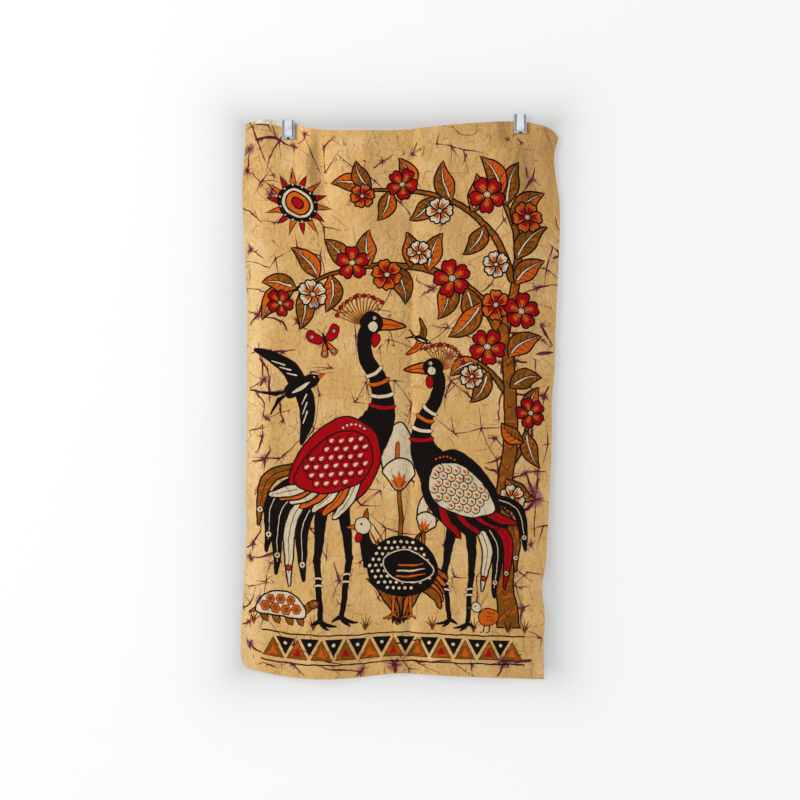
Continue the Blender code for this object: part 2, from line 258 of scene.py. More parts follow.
PETAL = ((0.10, -0.05), (0.42, -0.30), (0.78, -0.39), (0.99, -0.20), (0.93, 0.0))
BLUSH = ((0.14, -0.05), (0.40, -0.16), (0.66, -0.13), (0.56, -0.05), (0.74, 0.0))


def mirrored(half) -> list:
    """Closes a half outline with its mirror image across its own line."""
    return list(half) + [(along, -beside) for along, beside in reversed(half[:-1])]


@dataclass(frozen=True)
class Flower:
    """An open flower of round petals with a blushed middle and a dotted eye."""

    centre: tuple
    radius: float
    petals: int = 5
    dye: Dye = Dye.RED
    blush: Dye = Dye.ORANGE
    turn: float = 0.3

    def draw(self, drawing: Drawing) -> None:
        """Adds the flower to a drawing."""
        for k in range(self.petals):
            angle = self.turn + 2 * math.pi * k / self.petals
            petal = smooth(placed(mirrored(PETAL), self.centre, angle, self.radius), closed=True)
            drawing.area(petal, self.dye)
            blush = placed(mirrored(BLUSH), self.centre, angle, self.radius)
            drawing.fill(smooth(blush, closed=True, step=4.0), self.blush)
            for lean in (-0.30, 0.30):
                vein = placed(
                    [(0.30, 0.25 * lean), (0.55, 0.5 * lean), (0.80, 0.75 * lean)],
                    self.centre,
                    angle,
                    self.radius,
                )
                drawing.stroke(smooth(vein), (1.3, 0.5))
        drawing.dot(self.centre, self.radius * 0.21, Dye.CREAM, LINE_MM * 0.8)
        for k in range(6):
            angle = self.turn + math.pi * k / 3
            reach = self.radius * 0.11
            spot = (self.centre[0] + reach * math.cos(angle), self.centre[1] + reach * math.sin(angle))
            drawing.dot(spot, max(0.9, self.radius * 0.035), Dye.BROWN)


@dataclass(frozen=True)
class Sun:
    """A sun disc of rings with two rows of bent rays."""

    centre: tuple
    radius: float
    rays: int = 14

    def draw(self, drawing: Drawing) -> None:
        """Adds the sun to a drawing."""
        for k in range(self.rays):
            angle = 2 * math.pi * k / self.rays
            dye = Dye.RED if k % 2 else Dye.ORANGE
            reach = 1.62 if k % 2 else 1.84
            ray = placed(
                [(1.02, -0.17), (1.32, -0.05), (reach, 0.10), (1.34, 0.13), (1.02, 0.16)],
                self.centre,
                angle,
                self.radius,
            )
            drawing.area(ray, dye, 2.0)
        drawing.dot(self.centre, self.radius * 1.04, Dye.BLACK)
        drawing.dot(self.centre, self.radius * 0.84, Dye.CREAM, LINE_MM)
        drawing.dot(self.centre, self.radius * 0.62, Dye.ORANGE, LINE_MM)
        drawing.dot(self.centre, self.radius * 0.30, Dye.RED, LINE_MM)
        for k in range(12):
            angle = 2 * math.pi * (k + 0.5) / 12
            reach = self.radius * 0.93
            spot = (self.centre[0] + reach * math.cos(angle), self.centre[1] + reach * math.sin(angle))
            drawing.dot(spot, 1.4, Dye.CREAM)


@dataclass(frozen=True)
class Crane:
    """A tall standing bird with a fan crest, a scalloped wing and long tail plumes.

    It is laid out facing right, with its feet about (148, 790), and then moved, sized and turned.
    """

    foot: tuple = (148.0, 790.0)
    size: float = 1.0
    face_left: bool = False
    body_dye: Dye = Dye.RED
    wing_dye: Dye = Dye.RED
    drop_dye: Dye = Dye.CREAM
    quills: tuple = (Dye.CREAM, Dye.ORANGE)
    plumes: tuple = (Dye.BLACK, Dye.BROWN, Dye.BLACK, Dye.CREAM, Dye.BLACK)

    def at(self, points) -> np.ndarray:
        """Points of the layout, placed on the cloth."""
        turn = -self.size if self.face_left else self.size
        return (np.asarray(points, float) - (148, 790)) * (turn, self.size) + np.asarray(self.foot, float)

    def wide(self, *widths: float) -> tuple:
        """Widths at the bird's size."""
        return tuple(width * self.size for width in widths)

    def draw(self, drawing: Drawing) -> None:
        """Adds the bird to a drawing, from what lies behind to what lies in front."""
        self.legs(drawing)
        self.tail(drawing)
        self.crest(drawing)
        self.neck(drawing)
        self.body(drawing)
        self.head(drawing)

    def legs(self, drawing: Drawing) -> None:
        """Two thin legs with spread toes."""
        for hip, knee, foot in (((163, 600), (176, 692), (166, 786)), ((128, 612), (122, 700), (131, 792))):
            drawing.stroke(self.at(smooth([hip, knee])), self.wide(24, 12), Dye.BLACK)
            drawing.stroke(self.at(smooth([knee, foot])), self.wide(12, 9), Dye.BLACK)
            drawing.dot(tuple(self.at(knee)), 7.6 * self.size, Dye.BLACK)
            for toe in ((27, 9), (14, 14), (-15, 8)):
                tip = (foot[0] + toe[0], foot[1] + toe[1])
                drawing.stroke(self.at(bowed(foot, tip, -0.08, 6)), self.wide(8, 6.4, 2.4), Dye.BLACK)
            for ring in (0.30, 0.42):
                spot = self.at(along(np.array([knee, foot], float), ring))
                drawing.lined_stroke(
                    bowed(spot + (-6.5, 0), spot + (6.5, 0), 0.1, 4),
                    (4.0, 4.0),
                    Dye.CREAM,
                    1.2,
                )

    def tail(self, drawing: Drawing) -> None:
        """Long drooping plumes, each with an eye near its end."""
        rows = (
            ((104, 560), (50, 604), (36, 690)),
            ((100, 548), (40, 575), (20, 650)),
            ((112, 572), (62, 622), (54, 724)),
            ((118, 584), (80, 634), (76, 740)),
            ((126, 592), (98, 640), (100, 730)),
        )
        for (root, middle, tip), dye in zip(rows, self.plumes):
            path = self.at(smooth([root, middle, tip]))
            drawing.lined_stroke(path, self.wide(11, 18, 21, 15, 4), dye)
            drawing.stroke(path[3:-5], (1.5, 1.0), Dye.CREAM if dye == Dye.BLACK else Dye.LINE)
            eye = tuple(along(path, 0.84))
            drawing.dot(eye, 5.4 * self.size, Dye.RED if dye == Dye.CREAM else Dye.CREAM, 1.5)
            drawing.dot(eye, 2.4 * self.size, Dye.BROWN)

    def crest(self, drawing: Drawing) -> None:
        """Thin spikes with round ends that fan from the back of the head."""
        for k in range(13):
            angle = math.radians(-164 + 9.2 * k)
            start = np.array([196.0, 318.0])
            tip = start + 47 * np.array([math.cos(angle), math.sin(angle)])
            drawing.stroke(self.at(bowed(start, tip, 0.04, 6)), self.wide(2.8, 2.0), Dye.BROWN)
            drawing.dot(tuple(self.at(tip)), 3.5 * self.size, Dye.ORANGE if k % 2 else Dye.RED, 1.5)

    def neck(self, drawing: Drawing) -> None:
        """S-shaped black neck with four rings."""
        neck = self.at(smooth([(196, 512), (226, 462), (222, 410), (200, 372), (196, 340), (204, 318)]))
        drawing.stroke(neck, self.wide(76, 56, 36, 27, 24, 25), Dye.BLACK)
        side = sideways(neck)
        for k, share in enumerate(np.linspace(0.34, 0.62, 4)):
            index = int(share * (len(neck) - 1))
            half = (20.5 - 2.2 * k) * self.size
            ends = (neck[index] - side[index] * half, neck[index] + side[index] * half)
            dye = (Dye.RED, Dye.CREAM, Dye.ORANGE, Dye.CREAM)[k]
            drawing.lined_stroke(bowed(*ends, 0.10, 7), (6.6, 6.6), dye, 1.4)

    def body(self, drawing: Drawing) -> None:
        """Body, flight feathers below it and the wing over both."""
        outline = [
            (192, 474), (216, 492), (226, 530), (212, 574),
            (176, 608), (134, 622), (98, 612), (74, 586),
        ]
        outline += [(78, 552), (100, 514), (132, 484), (164, 468)]
        drawing.area(self.at(smooth(outline, closed=True)), self.body_dye)
        for k in range(6):
            spot = self.at((198 - 7 * k, 486 - 1.5 * k * (k - 5) * -0.6))
            drawing.dot(tuple(spot), 2.6 * self.size, self.drop_dye, 1.0)
        for k in range(7):
            root = (190 - 15 * k, 564 + 3.0 * k)
            tip = (150 - 18 * k, 630 - 5 * k)
            middle = ((root[0] + tip[0]) / 2 + 6, (root[1] + tip[1]) / 2)
            quill = self.at(smooth([root, middle, tip]))
            drawing.lined_stroke(quill, self.wide(15, 19, 9), self.quills[k % 2])
            drawing.stroke(quill[4:-2], (1.2, 0.8))
        wing = [
            (202, 500), (213, 532), (198, 568), (162, 586), (118, 592),
            (82, 577), (94, 546), (124, 512), (166, 491),
        ]
        ring = self.at(smooth(wing, closed=True))
        drawing.area(ring, self.wing_dye)
        self.scallops(drawing, grow(ring, -7.5 * self.size))

    def scallops(self, drawing: Drawing, inner: np.ndarray) -> None:
        """Rows of scalloped feathers over the wing, each with a waxed drop in it."""
        shoulder, angle = (206.0, 512.0), math.radians(147)
        for row in range(8):
            for column in range(-3, 4):
                beside = 15.0 * column + 7.5 * (row % 2)
                ahead = 14.5 * row + 6
                middle = self.at(placed([(ahead + 3, beside)], shoulder, angle))
                if not inside_ring(inner, middle)[0]:
                    continue
                arc = [(-3, -7.6), (5, -6.4), (8.6, 0), (5, 6.4), (-3, 7.6)]
                arc = placed(np.array(arc) + (ahead, beside), shoulder, angle)
                drawing.stroke(self.at(smooth(arc, step=4.0)), (1.5, 1.9, 1.5))
                drop = [(-4.6, 0), (-0.6, -2.5), (2.6, -2.4), (4.2, 0), (2.6, 2.4), (-0.6, 2.5)]
                drop = placed(np.array(drop) + (ahead + 0.6, beside), shoulder, angle)
                drawing.fill(self.at(smooth(drop, closed=True, step=2.6)), self.drop_dye)

    def head(self, drawing: Drawing) -> None:
        """Black head with a cream cheek, a red wattle and a long beak."""
        beak = smooth([(212, 305), (238, 308), (264, 320), (238, 325), (212, 328)])
        drawing.area(self.at(beak), Dye.ORANGE)
        drawing.stroke(self.at(smooth([(222, 318), (240, 317), (254, 319)])), (1.5, 1.0))
        skull = [(188, 312), (200, 297), (218, 299), (228, 313), (219, 330), (202, 333)]
        drawing.fill(self.at(smooth(skull, closed=True)), Dye.BLACK)
        cheek = [(203, 317), (212, 312), (219, 320), (212, 330), (204, 326)]
        drawing.area(self.at(smooth(cheek, closed=True)), Dye.CREAM, 1.4)
        wattle = [(212, 331), (220, 334), (220, 348), (212, 354), (207, 342)]
        drawing.area(self.at(smooth(wattle, closed=True)), Dye.RED, 1.6)
        drawing.dot(tuple(self.at((213, 307))), 3.0, Dye.CREAM)
        drawing.dot(tuple(self.at((213.6, 307))), 1.5, Dye.BLACK)


@dataclass(frozen=True)
class GuineaFowl:
    """A plump black bird with rows of cream spots, facing left."""

    middle: tuple
    scale: float = 1.0

    def at(self, points) -> np.ndarray:
        """Points given from the bird's middle, placed on the cloth."""
        return np.asarray(points, float) * self.scale + np.asarray(self.middle, float)

    def draw(self, drawing: Drawing) -> None:
        """Adds the bird to a drawing."""
        for hip, foot in (((-8, 46), (-12, 84)), ((18, 48), (20, 84))):
            drawing.lined_stroke(self.at(smooth([hip, foot])), (6.0, 4.6), Dye.ORANGE, 1.5)
            for toe in ((-15, 5), (-6, 8), (9, 5)):
                tip = (foot[0] + toe[0], foot[1] + toe[1])
                drawing.lined_stroke(self.at(bowed(foot, tip, 0.05, 5)), (4.4, 2.4), Dye.ORANGE, 1.3)
        for k in range(5):
            tip = (82 - 3 * k, 20 + 12 * k)
            drawing.lined_stroke(
                self.at(smooth([(40, 8 + 7 * k), (64, 12 + 10 * k), tip])),
                (13, 15, 7),
                (Dye.BROWN, Dye.ORANGE)[k % 2],
            )
        neck = self.at(smooth([(-44, -6), (-58, -30), (-64, -54)]))
        drawing.stroke(neck, (44, 23, 15), Dye.BLACK)
        outline = [
            (-56, -6), (-38, -34), (-4, -46), (34, -38), (60, -12),
            (66, 16), (50, 40), (18, 53), (-20, 50), (-48, 30),
        ]
        drawing.fill(self.at(smooth(outline, closed=True)), Dye.BLACK)
        self.spots(drawing)
        wing = [(-30, -8), (0, -24), (36, -16), (60, 12), (40, 28), (6, 31), (-22, 16)]
        drawing.area(self.at(smooth(wing, closed=True)), Dye.CREAM, 1.0)
        shrunk = grow(self.at(smooth(wing, closed=True)), -2.4)
        drawing.fill(shrunk, Dye.BLACK)
        for k in range(3):
            path = smooth([(-6 + 2 * k, 20 - 9 * k), (18, 21 - 9 * k), (44 - 2 * k, 14 - 8 * k)])
            drawing.stroke(self.at(path), (2.6, 3.2, 1.2), (Dye.ORANGE, Dye.CREAM, Dye.ORANGE)[k])
        self.head(drawing)

    def spots(self, drawing: Drawing) -> None:
        """Cream spots in staggered rows, kept inside the body's oval."""
        for row in range(-4, 6):
            for column in range(-6, 7):
                x = column * 10.4 + (row % 2) * 5.2
                y = row * 9.4 + 2
                inside = ((x - 2) / 55) ** 2 + ((y - 3) / 43) ** 2 < 1
                if inside:
                    drawing.dot(tuple(self.at([(x, y)])[0]), 2.8 * self.scale, Dye.CREAM)

    def head(self, drawing: Drawing) -> None:
        """Cream face with a brown casque, a red wattle and an orange beak."""
        drawing.area(self.at(smooth([(-76, -66), (-94, -61), (-76, -56)])), Dye.ORANGE, 1.5)
        drawing.area(self.at(smooth([(-66, -76), (-58, -92), (-54, -74)])), Dye.BROWN, 1.5)
        drawing.area(
            self.at(
                smooth(
                    [(-52, -62), (-60, -76), (-74, -74), (-80, -62), (-72, -50), (-58, -50)], closed=True
                )
            ),
            Dye.CREAM,
            1.8,
        )
        drawing.area(
            self.at(smooth([(-74, -52), (-68, -50), (-68, -38), (-75, -36), (-79, -44)], closed=True)),
            Dye.RED,
            1.6,
        )
        drawing.dot(tuple(self.at([(-68, -65)])[0]), 2.0, Dye.BLACK)


@dataclass(frozen=True)
class Chick:
    """A small striped chick."""

    middle: tuple
    face_left: bool = True

    def draw(self, drawing: Drawing) -> None:
        """Adds the chick to a drawing."""
        turn = 1 if self.face_left else -1
        for x in (-3, 6):
            foot = [(x, 12), (x - 1, 24), (x - 6, 26)]
            drawing.stroke(self.at(foot, turn), (2.4, 2.2, 1.6), Dye.LINE)
        body = smooth([(-14, -2), (-4, -12), (10, -12), (21, -4), (16, 9), (2, 15), (-11, 10)], closed=True)
        drawing.area(self.at(body, turn), Dye.ORANGE, 1.8)
        for k in range(3):
            path = smooth([(-4 + 2 * k, -7 + 6 * k), (6 + k, -6 + 6 * k), (15 - k, -3 + 5 * k)])
            drawing.stroke(self.at(path, turn), (1.2, 2.6, 1.0), Dye.BROWN)
        drawing.area(self.at(smooth([(-24, -17), (-33, -13), (-23, -11)]), turn), Dye.BROWN, 1.3)
        drawing.area(self.at(ring_of((-17, -15), 8.4, 8.0), turn), Dye.CREAM, 1.8)
        drawing.dot(tuple(self.at([(-19, -16)], turn)[0]), 1.5, Dye.BLACK)

    def at(self, points, turn: int) -> np.ndarray:
        """Points given from the chick's middle, placed on the cloth."""
        return np.asarray(points, float) * (turn, 1) + np.asarray(self.middle, float)


@dataclass(frozen=True)
class Swallow:
    """A bird in flight with a forked tail."""

    middle: tuple
    angle: float
    size: float = 1.0
    wings: tuple = (Dye.BROWN, Dye.ORANGE)
    feather: Dye = Dye.LINE

    def draw(self, drawing: Drawing) -> None:
        """Adds the bird to a drawing."""

        def at(points) -> np.ndarray:
            """Points along and beside the flight, placed on the cloth."""
            return placed(points, self.middle, self.angle, self.size)

        for side in (-1, 1):
            tail = [(-16, 2 * side), (-30, 6 * side), (-48, 15 * side), (-31, 1.5 * side)]
            drawing.area(at(smooth(tail)), Dye.BLACK, 1.4)
        for side, dye in zip((-1, 1), self.wings):
            wing = [
                (12, 3 * side), (10, 22 * side), (-4, 44 * side), (-30, 62 * side),
                (-18, 38 * side), (-10, 20 * side), (-9, 4 * side),
            ]
            drawing.area(at(smooth(wing)), dye, 1.9)
            for k in range(3):
                path = [(4 - 4 * k, (12 + 9 * k) * side), (-6 - 5 * k, (20 + 10 * k) * side)]
                drawing.stroke(at(path), (1.3 + self.size, 0.6 + self.size * 0.6), self.feather)
        body = [(30, 0), (22, -6), (6, -7.5), (-18, -4), (-20, 4), (6, 7.5), (22, 6)]
        drawing.area(at(smooth(body, closed=True)), Dye.BLACK, 1.4)
        belly = [(15, 1), (2, 5), (-12, 2.5), (0, 0.5)]
        drawing.fill(at(smooth(belly, closed=True)), Dye.CREAM)
        drawing.area(at([(28, -2.6), (39, 0), (28, 2.6)]), Dye.ORANGE, 1.2)
        drawing.dot(tuple(at([(23, -2)])[0]), 1.3, Dye.CREAM)


@dataclass(frozen=True)
class Butterfly:
    """A butterfly with eyed wings."""

    middle: tuple
    angle: float
    size: float = 1.0

    def draw(self, drawing: Drawing) -> None:
        """Adds the butterfly to a drawing."""
        for side in (-1, 1):
            lower = [(-1, 2 * side), (-12, 11 * side), (-27, 17 * side), (-31, 8 * side), (-17, 2 * side)]
            upper = [
                (3, 2 * side), (18, 12 * side), (30, 27 * side),
                (20, 36 * side), (4, 27 * side), (-2, 10 * side),
            ]
            for wing, dye, eye in ((lower, Dye.ORANGE, (-22, 10 * side)), (upper, Dye.RED, (16, 24 * side))):
                ring = smooth(placed(wing, self.middle, self.angle, self.size), closed=True)
                drawing.area(ring, dye, 1.9)
                spot = tuple(placed([eye], self.middle, self.angle, self.size)[0])
                drawing.dot(spot, 4.0 * self.size, Dye.CREAM, 1.3)
                drawing.dot(spot, 1.6 * self.size, Dye.BLACK)
            feeler = placed([(12, side), (22, 4 * side), (30, 10 * side)], self.middle, self.angle, self.size)
            drawing.stroke(smooth(feeler), (1.1, 1.0))
        drawing.stroke(
            placed([(16, 0), (4, 0), (-18, 0)], self.middle, self.angle, self.size),
            (4.0, 5.4, 2.0),
            Dye.BLACK,
        )


@dataclass(frozen=True)
class Tortoise:
    """A tortoise with a waxed lattice of scutes on its shell, facing right."""

    middle: tuple
    size: float = 1.0

    def at(self, points) -> np.ndarray:
        """Points given from the shell's foot, placed on the cloth."""
        return np.asarray(points, float) * self.size + np.asarray(self.middle, float)

    def draw(self, drawing: Drawing) -> None:
        """Adds the tortoise to a drawing."""
        for x, lean in ((-32, -4), (-12, 2), (20, -2), (36, 5)):
            leg = [(x, -6), (x + lean, 6), (x + lean + 5, 14)]
            drawing.lined_stroke(self.at(smooth(leg)), (13, 12, 10), Dye.BROWN, 1.8)
        drawing.lined_stroke(self.at(smooth([(-48, -4), (-58, 0), (-66, 5)])), (8, 5, 2), Dye.BROWN, 1.6)
        neck = [(44, -8), (56, -16), (64, -24)]
        drawing.lined_stroke(self.at(smooth(neck)), (13, 12, 12), Dye.BROWN, 1.8)
        drawing.area(self.at(ring_of((70, -26), 11, 8, -0.2)), Dye.BROWN, 1.8)
        drawing.dot(tuple(self.at((73, -28))), 1.9, Dye.CREAM, 0.9)
        shell = [(-54, -2), (-46, -24), (-24, -42), (4, -47), (32, -38), (50, -18), (54, -2), (0, 3)]
        drawing.area(self.at(smooth(shell, closed=True)), Dye.CREAM)
        for x, y, reach in self.scutes():
            corners = [(reach * math.cos(a), reach * math.sin(a)) for a in np.arange(6) * math.pi / 3]
            scute = self.at(np.array(corners) + (x, y))
            drawing.area(scute, Dye.ORANGE, 1.4)
            drawing.area(self.at(np.array(corners) * 0.42 + (x, y)), Dye.BROWN, 1.0)

    def scutes(self) -> tuple:
        """Middles and reaches of the scutes that show."""
        return (
            (-33, -12, 10.5), (-12, -11, 11), (11, -10, 11), (33, -12, 10.5),
            (-23, -28, 9.5), (-1, -31, 10.5), (21, -29, 9.5),
        )


@dataclass(frozen=True)
class LilyClump:
    """Tall cream lilies on curved stems among blade leaves."""

    def draw(self, drawing: Drawing) -> None:
        """Adds the clump to a drawing."""
        blades = (
            ((252, 800), (222, 664), 11, -0.10, Dye.BROWN, Dye.ORANGE),
            ((264, 800), (300, 648), 12, 0.12, Dye.BROWN, None),
            ((262, 800), (206, 726), 9, -0.12, Dye.BROWN, None),
            ((270, 800), (322, 722), 9, 0.14, Dye.ORANGE, Dye.BROWN),
        )
        stems = (
            ([(260, 800), (256, 720), (262, 640), (258, 586)], (258, 582), -1.60, 1.10),
            ([(262, 800), (284, 730), (298, 680), (300, 652)], (300, 650), -1.30, 0.72),
        )
        for path, top, angle, size in stems:
            drawing.lined_stroke(smooth(path), (7.5, 7.0, 6.0), Dye.BROWN, 1.8)
            self.bloom(drawing, top, angle, size)
        for base, tip, half_width, bend, dye, far in blades:
            Leaf(base, tip, half_width, bend, dye, far, veins=0).draw(drawing)

    def bloom(self, drawing: Drawing, base, angle: float, size: float) -> None:
        """One cream trumpet, its orange spike in front of the back of its throat."""
        back = [(20, -20), (48, -28), (78, -21), (98, 3), (76, 19), (44, 26), (18, 18)]
        drawing.area(smooth(placed(back, base, angle, size), closed=True), Dye.CREAM)
        spike = placed(bowed((26, 0), (66, -1), 0.06, 7), base, angle, size)
        drawing.lined_stroke(spike, (7.5 * size, 6.0 * size, 5 * size), Dye.ORANGE, 1.6)
        front = [(-2, -5), (14, -17), (26, -25), (40, -13), (44, 3), (39, 18), (22, 24), (8, 14), (-2, 5)]
        drawing.area(smooth(placed(front, base, angle, size), closed=True), Dye.CREAM)
        tongues = [
            (-1, -4), (9, -12), (15, -13), (12, -8), (22, -9), (15, -3),
            (27, 0), (15, 3), (21, 9), (11, 8), (9, 12), (-1, 4),
        ]
        drawing.fill(placed(tongues, base, angle, size), Dye.ORANGE)
        for side in (-1, 1):
            fold = placed(smooth([(3, 3 * side), (16, 9 * side), (29, 12 * side)]), base, angle, size)
            drawing.stroke(fold, (1.4, 0.5))


@dataclass(frozen=True)
class FloweringTree:
    """A tree up the right side whose boughs arch to the left under leaves and flowers."""

    def draw(self, drawing: Drawing) -> None:
        """Adds the tree to a drawing: boughs, then leaves, then flowers."""
        trunk = smooth([(448, 830), (440, 700), (430, 600), (440, 500), (436, 400), (422, 320)])
        boughs = (
            ([(440, 540), (462, 500), (470, 462)], (11, 8, 5)),
            ([(428, 352), (392, 282), (326, 236), (236, 220), (150, 234), (80, 270)], (19, 14, 11, 9, 6, 4)),
            ([(424, 330), (440, 250), (440, 180), (414, 112)], (17, 12, 6)),
            ([(436, 244), (404, 176), (344, 124), (268, 100), (200, 98)], (12, 9, 7, 4)),
            ([(438, 430), (410, 396), (380, 372)], (11, 8, 5)),
        )
        for path, widths in boughs:
            drawing.lined_stroke(smooth(path), widths, Dye.BROWN)
        for extra, foot, dye in ((LINE_MM, 801.0, Dye.LINE), (-LINE_MM, 798.6, Dye.BROWN)):
            ring = ribbon(hand(trunk), np.array((42, 29, 25, 23, 20, 17)) + extra)
            drawing.patches.append(Patch(np.minimum(ring, (CANVAS_W, foot)), dye))
        for k in range(13):
            at = along(trunk, 0.10 + 0.066 * k)
            reach = 6.5 if k % 2 else -6.5
            path = smooth(
                [(at[0] - reach, at[1] - 7), (at[0] + reach * 0.2, at[1] + 3), (at[0] + reach, at[1] - 10)]
            )
            drawing.stroke(path, (0.8, 1.6, 0.6))
        for row in self.leaves():
            Leaf(*row).draw(drawing)
        for flower in self.flowers():
            flower.draw(drawing)

    def leaves(self) -> tuple:
        """Leaves as base, tip, half width, bend, dye and second dye."""
        brown, orange = Dye.BROWN, Dye.ORANGE
        return (
            ((80, 270), (26, 322), 17, -0.14, brown, orange),
            ((92, 264), (88, 332), 16, 0.12, brown, None),
            ((84, 268), (26, 262), 15, -0.10, orange, brown),
            ((120, 246), (76, 202), 16, -0.12, brown, orange),
            ((140, 238), (132, 300), 16, 0.12, brown, orange),
            ((168, 230), (130, 180), 16, -0.10, brown, None),
            ((206, 222), (204, 164), 16, 0.12, brown, orange),
            ((240, 222), (262, 284), 17, 0.12, brown, None),
            ((268, 224), (262, 166), 15, -0.12, orange, brown),
            ((300, 230), (322, 170), 17, 0.10, brown, orange),
            ((330, 238), (316, 308), 18, 0.14, brown, orange),
            ((360, 256), (366, 326), 17, 0.12, brown, None),
            ((386, 280), (334, 336), 17, 0.10, brown, orange),
            ((440, 252), (486, 210), 16, 0.10, brown, orange),
            ((440, 214), (488, 156), 16, 0.10, brown, None),
            ((434, 160), (484, 104), 17, 0.12, brown, orange),
            ((422, 130), (446, 62), 16, 0.08, brown, None),
            ((414, 114), (384, 52), 16, -0.12, brown, orange),
            ((388, 158), (354, 204), 15, 0.12, brown, None),
            ((366, 138), (376, 78), 15, -0.10, orange, brown),
            ((336, 120), (322, 56), 16, 0.10, brown, orange),
            ((306, 110), (268, 146), 15, 0.12, brown, None),
            ((270, 100), (250, 46), 15, -0.10, brown, orange),
            ((236, 98), (216, 148), 14, 0.10, orange, brown),
            ((200, 98), (142, 88), 15, -0.12, brown, orange),
            ((206, 98), (180, 50), 14, 0.10, brown, None),
            ((432, 366), (486, 330), 17, 0.12, brown, orange),
            ((438, 414), (488, 394), 16, 0.12, brown, None),
            ((384, 374), (338, 398), 14, -0.10, brown, orange),
            ((400, 388), (372, 440), 14, 0.12, brown, None),
            ((470, 462), (486, 410), 14, 0.10, brown, orange),
            ((466, 480), (490, 540), 14, -0.10, brown, None),
            ((462, 500), (424, 470), 13, 0.10, orange, brown),
            ((434, 560), (484, 590), 15, -0.12, brown, orange),
        )

    def flowers(self) -> tuple:
        """Flowers on the boughs."""
        cream, orange, red = Dye.CREAM, Dye.ORANGE, Dye.RED
        return (
            Flower((398, 350), 29, 5, red, orange, 0.2),
            Flower((410, 284), 24, 6, orange, red, 0.5),
            Flower((338, 242), 30, 5, red, orange, 0.7),
            Flower((284, 200), 20, 6, cream, orange, 0.1),
            Flower((232, 236), 25, 6, orange, red, 0.3),
            Flower((176, 218), 27, 5, red, orange, 0.9),
            Flower((110, 272), 24, 6, cream, orange, 0.4),
            Flower((56, 292), 22, 5, red, orange, 0.1),
            Flower((452, 292), 28, 5, red, orange, 1.0),
            Flower((408, 220), 21, 6, cream, orange, 0.3),
            Flower((392, 112), 28, 5, red, orange, 0.4),
            Flower((456, 146), 24, 6, orange, red, 0.9),
            Flower((316, 134), 22, 6, cream, orange, 0.0),
            Flower((256, 88), 25, 5, red, orange, 0.2),
            Flower((192, 108), 20, 6, orange, red, 0.8),
            Flower((472, 452), 24, 5, red, orange, 0.6),
            Flower((374, 398), 20, 6, cream, orange, 0.6),
            Flower((446, 590), 22, 6, cream, orange, 0.3),
        )


@dataclass(frozen=True)
class BorderBand:
    """A plain old border along the foot: triangles, dots and two lines."""

    left: float = 34.0
    right: float = 474.0
    top: float = 820.0
    height: float = 34.0
    cells: int = 11

    def draw(self, drawing: Drawing) -> None:
        """Adds the border to a drawing."""
        wide = (self.right - self.left) / self.cells
        for k in range(self.cells):
            x = self.left + wide * k
            foot, head = self.top + self.height, self.top
            up = [(x + 3.0, foot - 1), (x + wide / 2, head + 2.5), (x + wide - 3.0, foot - 1)]
            drawing.area(np.array(up), Dye.BROWN, 2.0)
            inner = [(x + wide * 0.33, foot - 6), (x + wide / 2, head + 14.5), (x + wide * 0.67, foot - 6)]
            drawing.fill(np.array(inner), (Dye.ORANGE, Dye.RED)[k % 2])
            if k:
                down = [(x - wide / 2 + 5.5, head + 1), (x + wide / 2 - 5.5, head + 1), (x, foot - 7.5)]
                drawing.area(np.array(down), Dye.BLACK, 2.0)
                drawing.dot((x, head + 9.5), 3.0, Dye.CREAM)
        for y in (self.top - 6, self.top + self.height + 6):
            drawing.stroke(smooth([(self.left, y), (254, y + 0.8), (self.right, y - 0.5)]), (2.4, 2.0, 2.4))


@dataclass(frozen=True)
class GrassTuft:
    """A few thin blades at the feet of the birds and the tree."""

    foot: tuple
    blades: int = 5

    def draw(self, drawing: Drawing) -> None:
        """Adds the tuft to a drawing."""
        for k in range(self.blades):
            lean = (k - (self.blades - 1) / 2) * 0.34
            length = 24 - 3.2 * abs(k - (self.blades - 1) / 2)
            tip = (self.foot[0] + length * math.sin(lean), self.foot[1] - length * math.cos(lean))
            drawing.stroke(
                bowed(self.foot, tip, 0.10 * lean, 6),
                (3.2, 2.2, 0.7),
                (Dye.BROWN, Dye.LINE)[k % 2],
            )


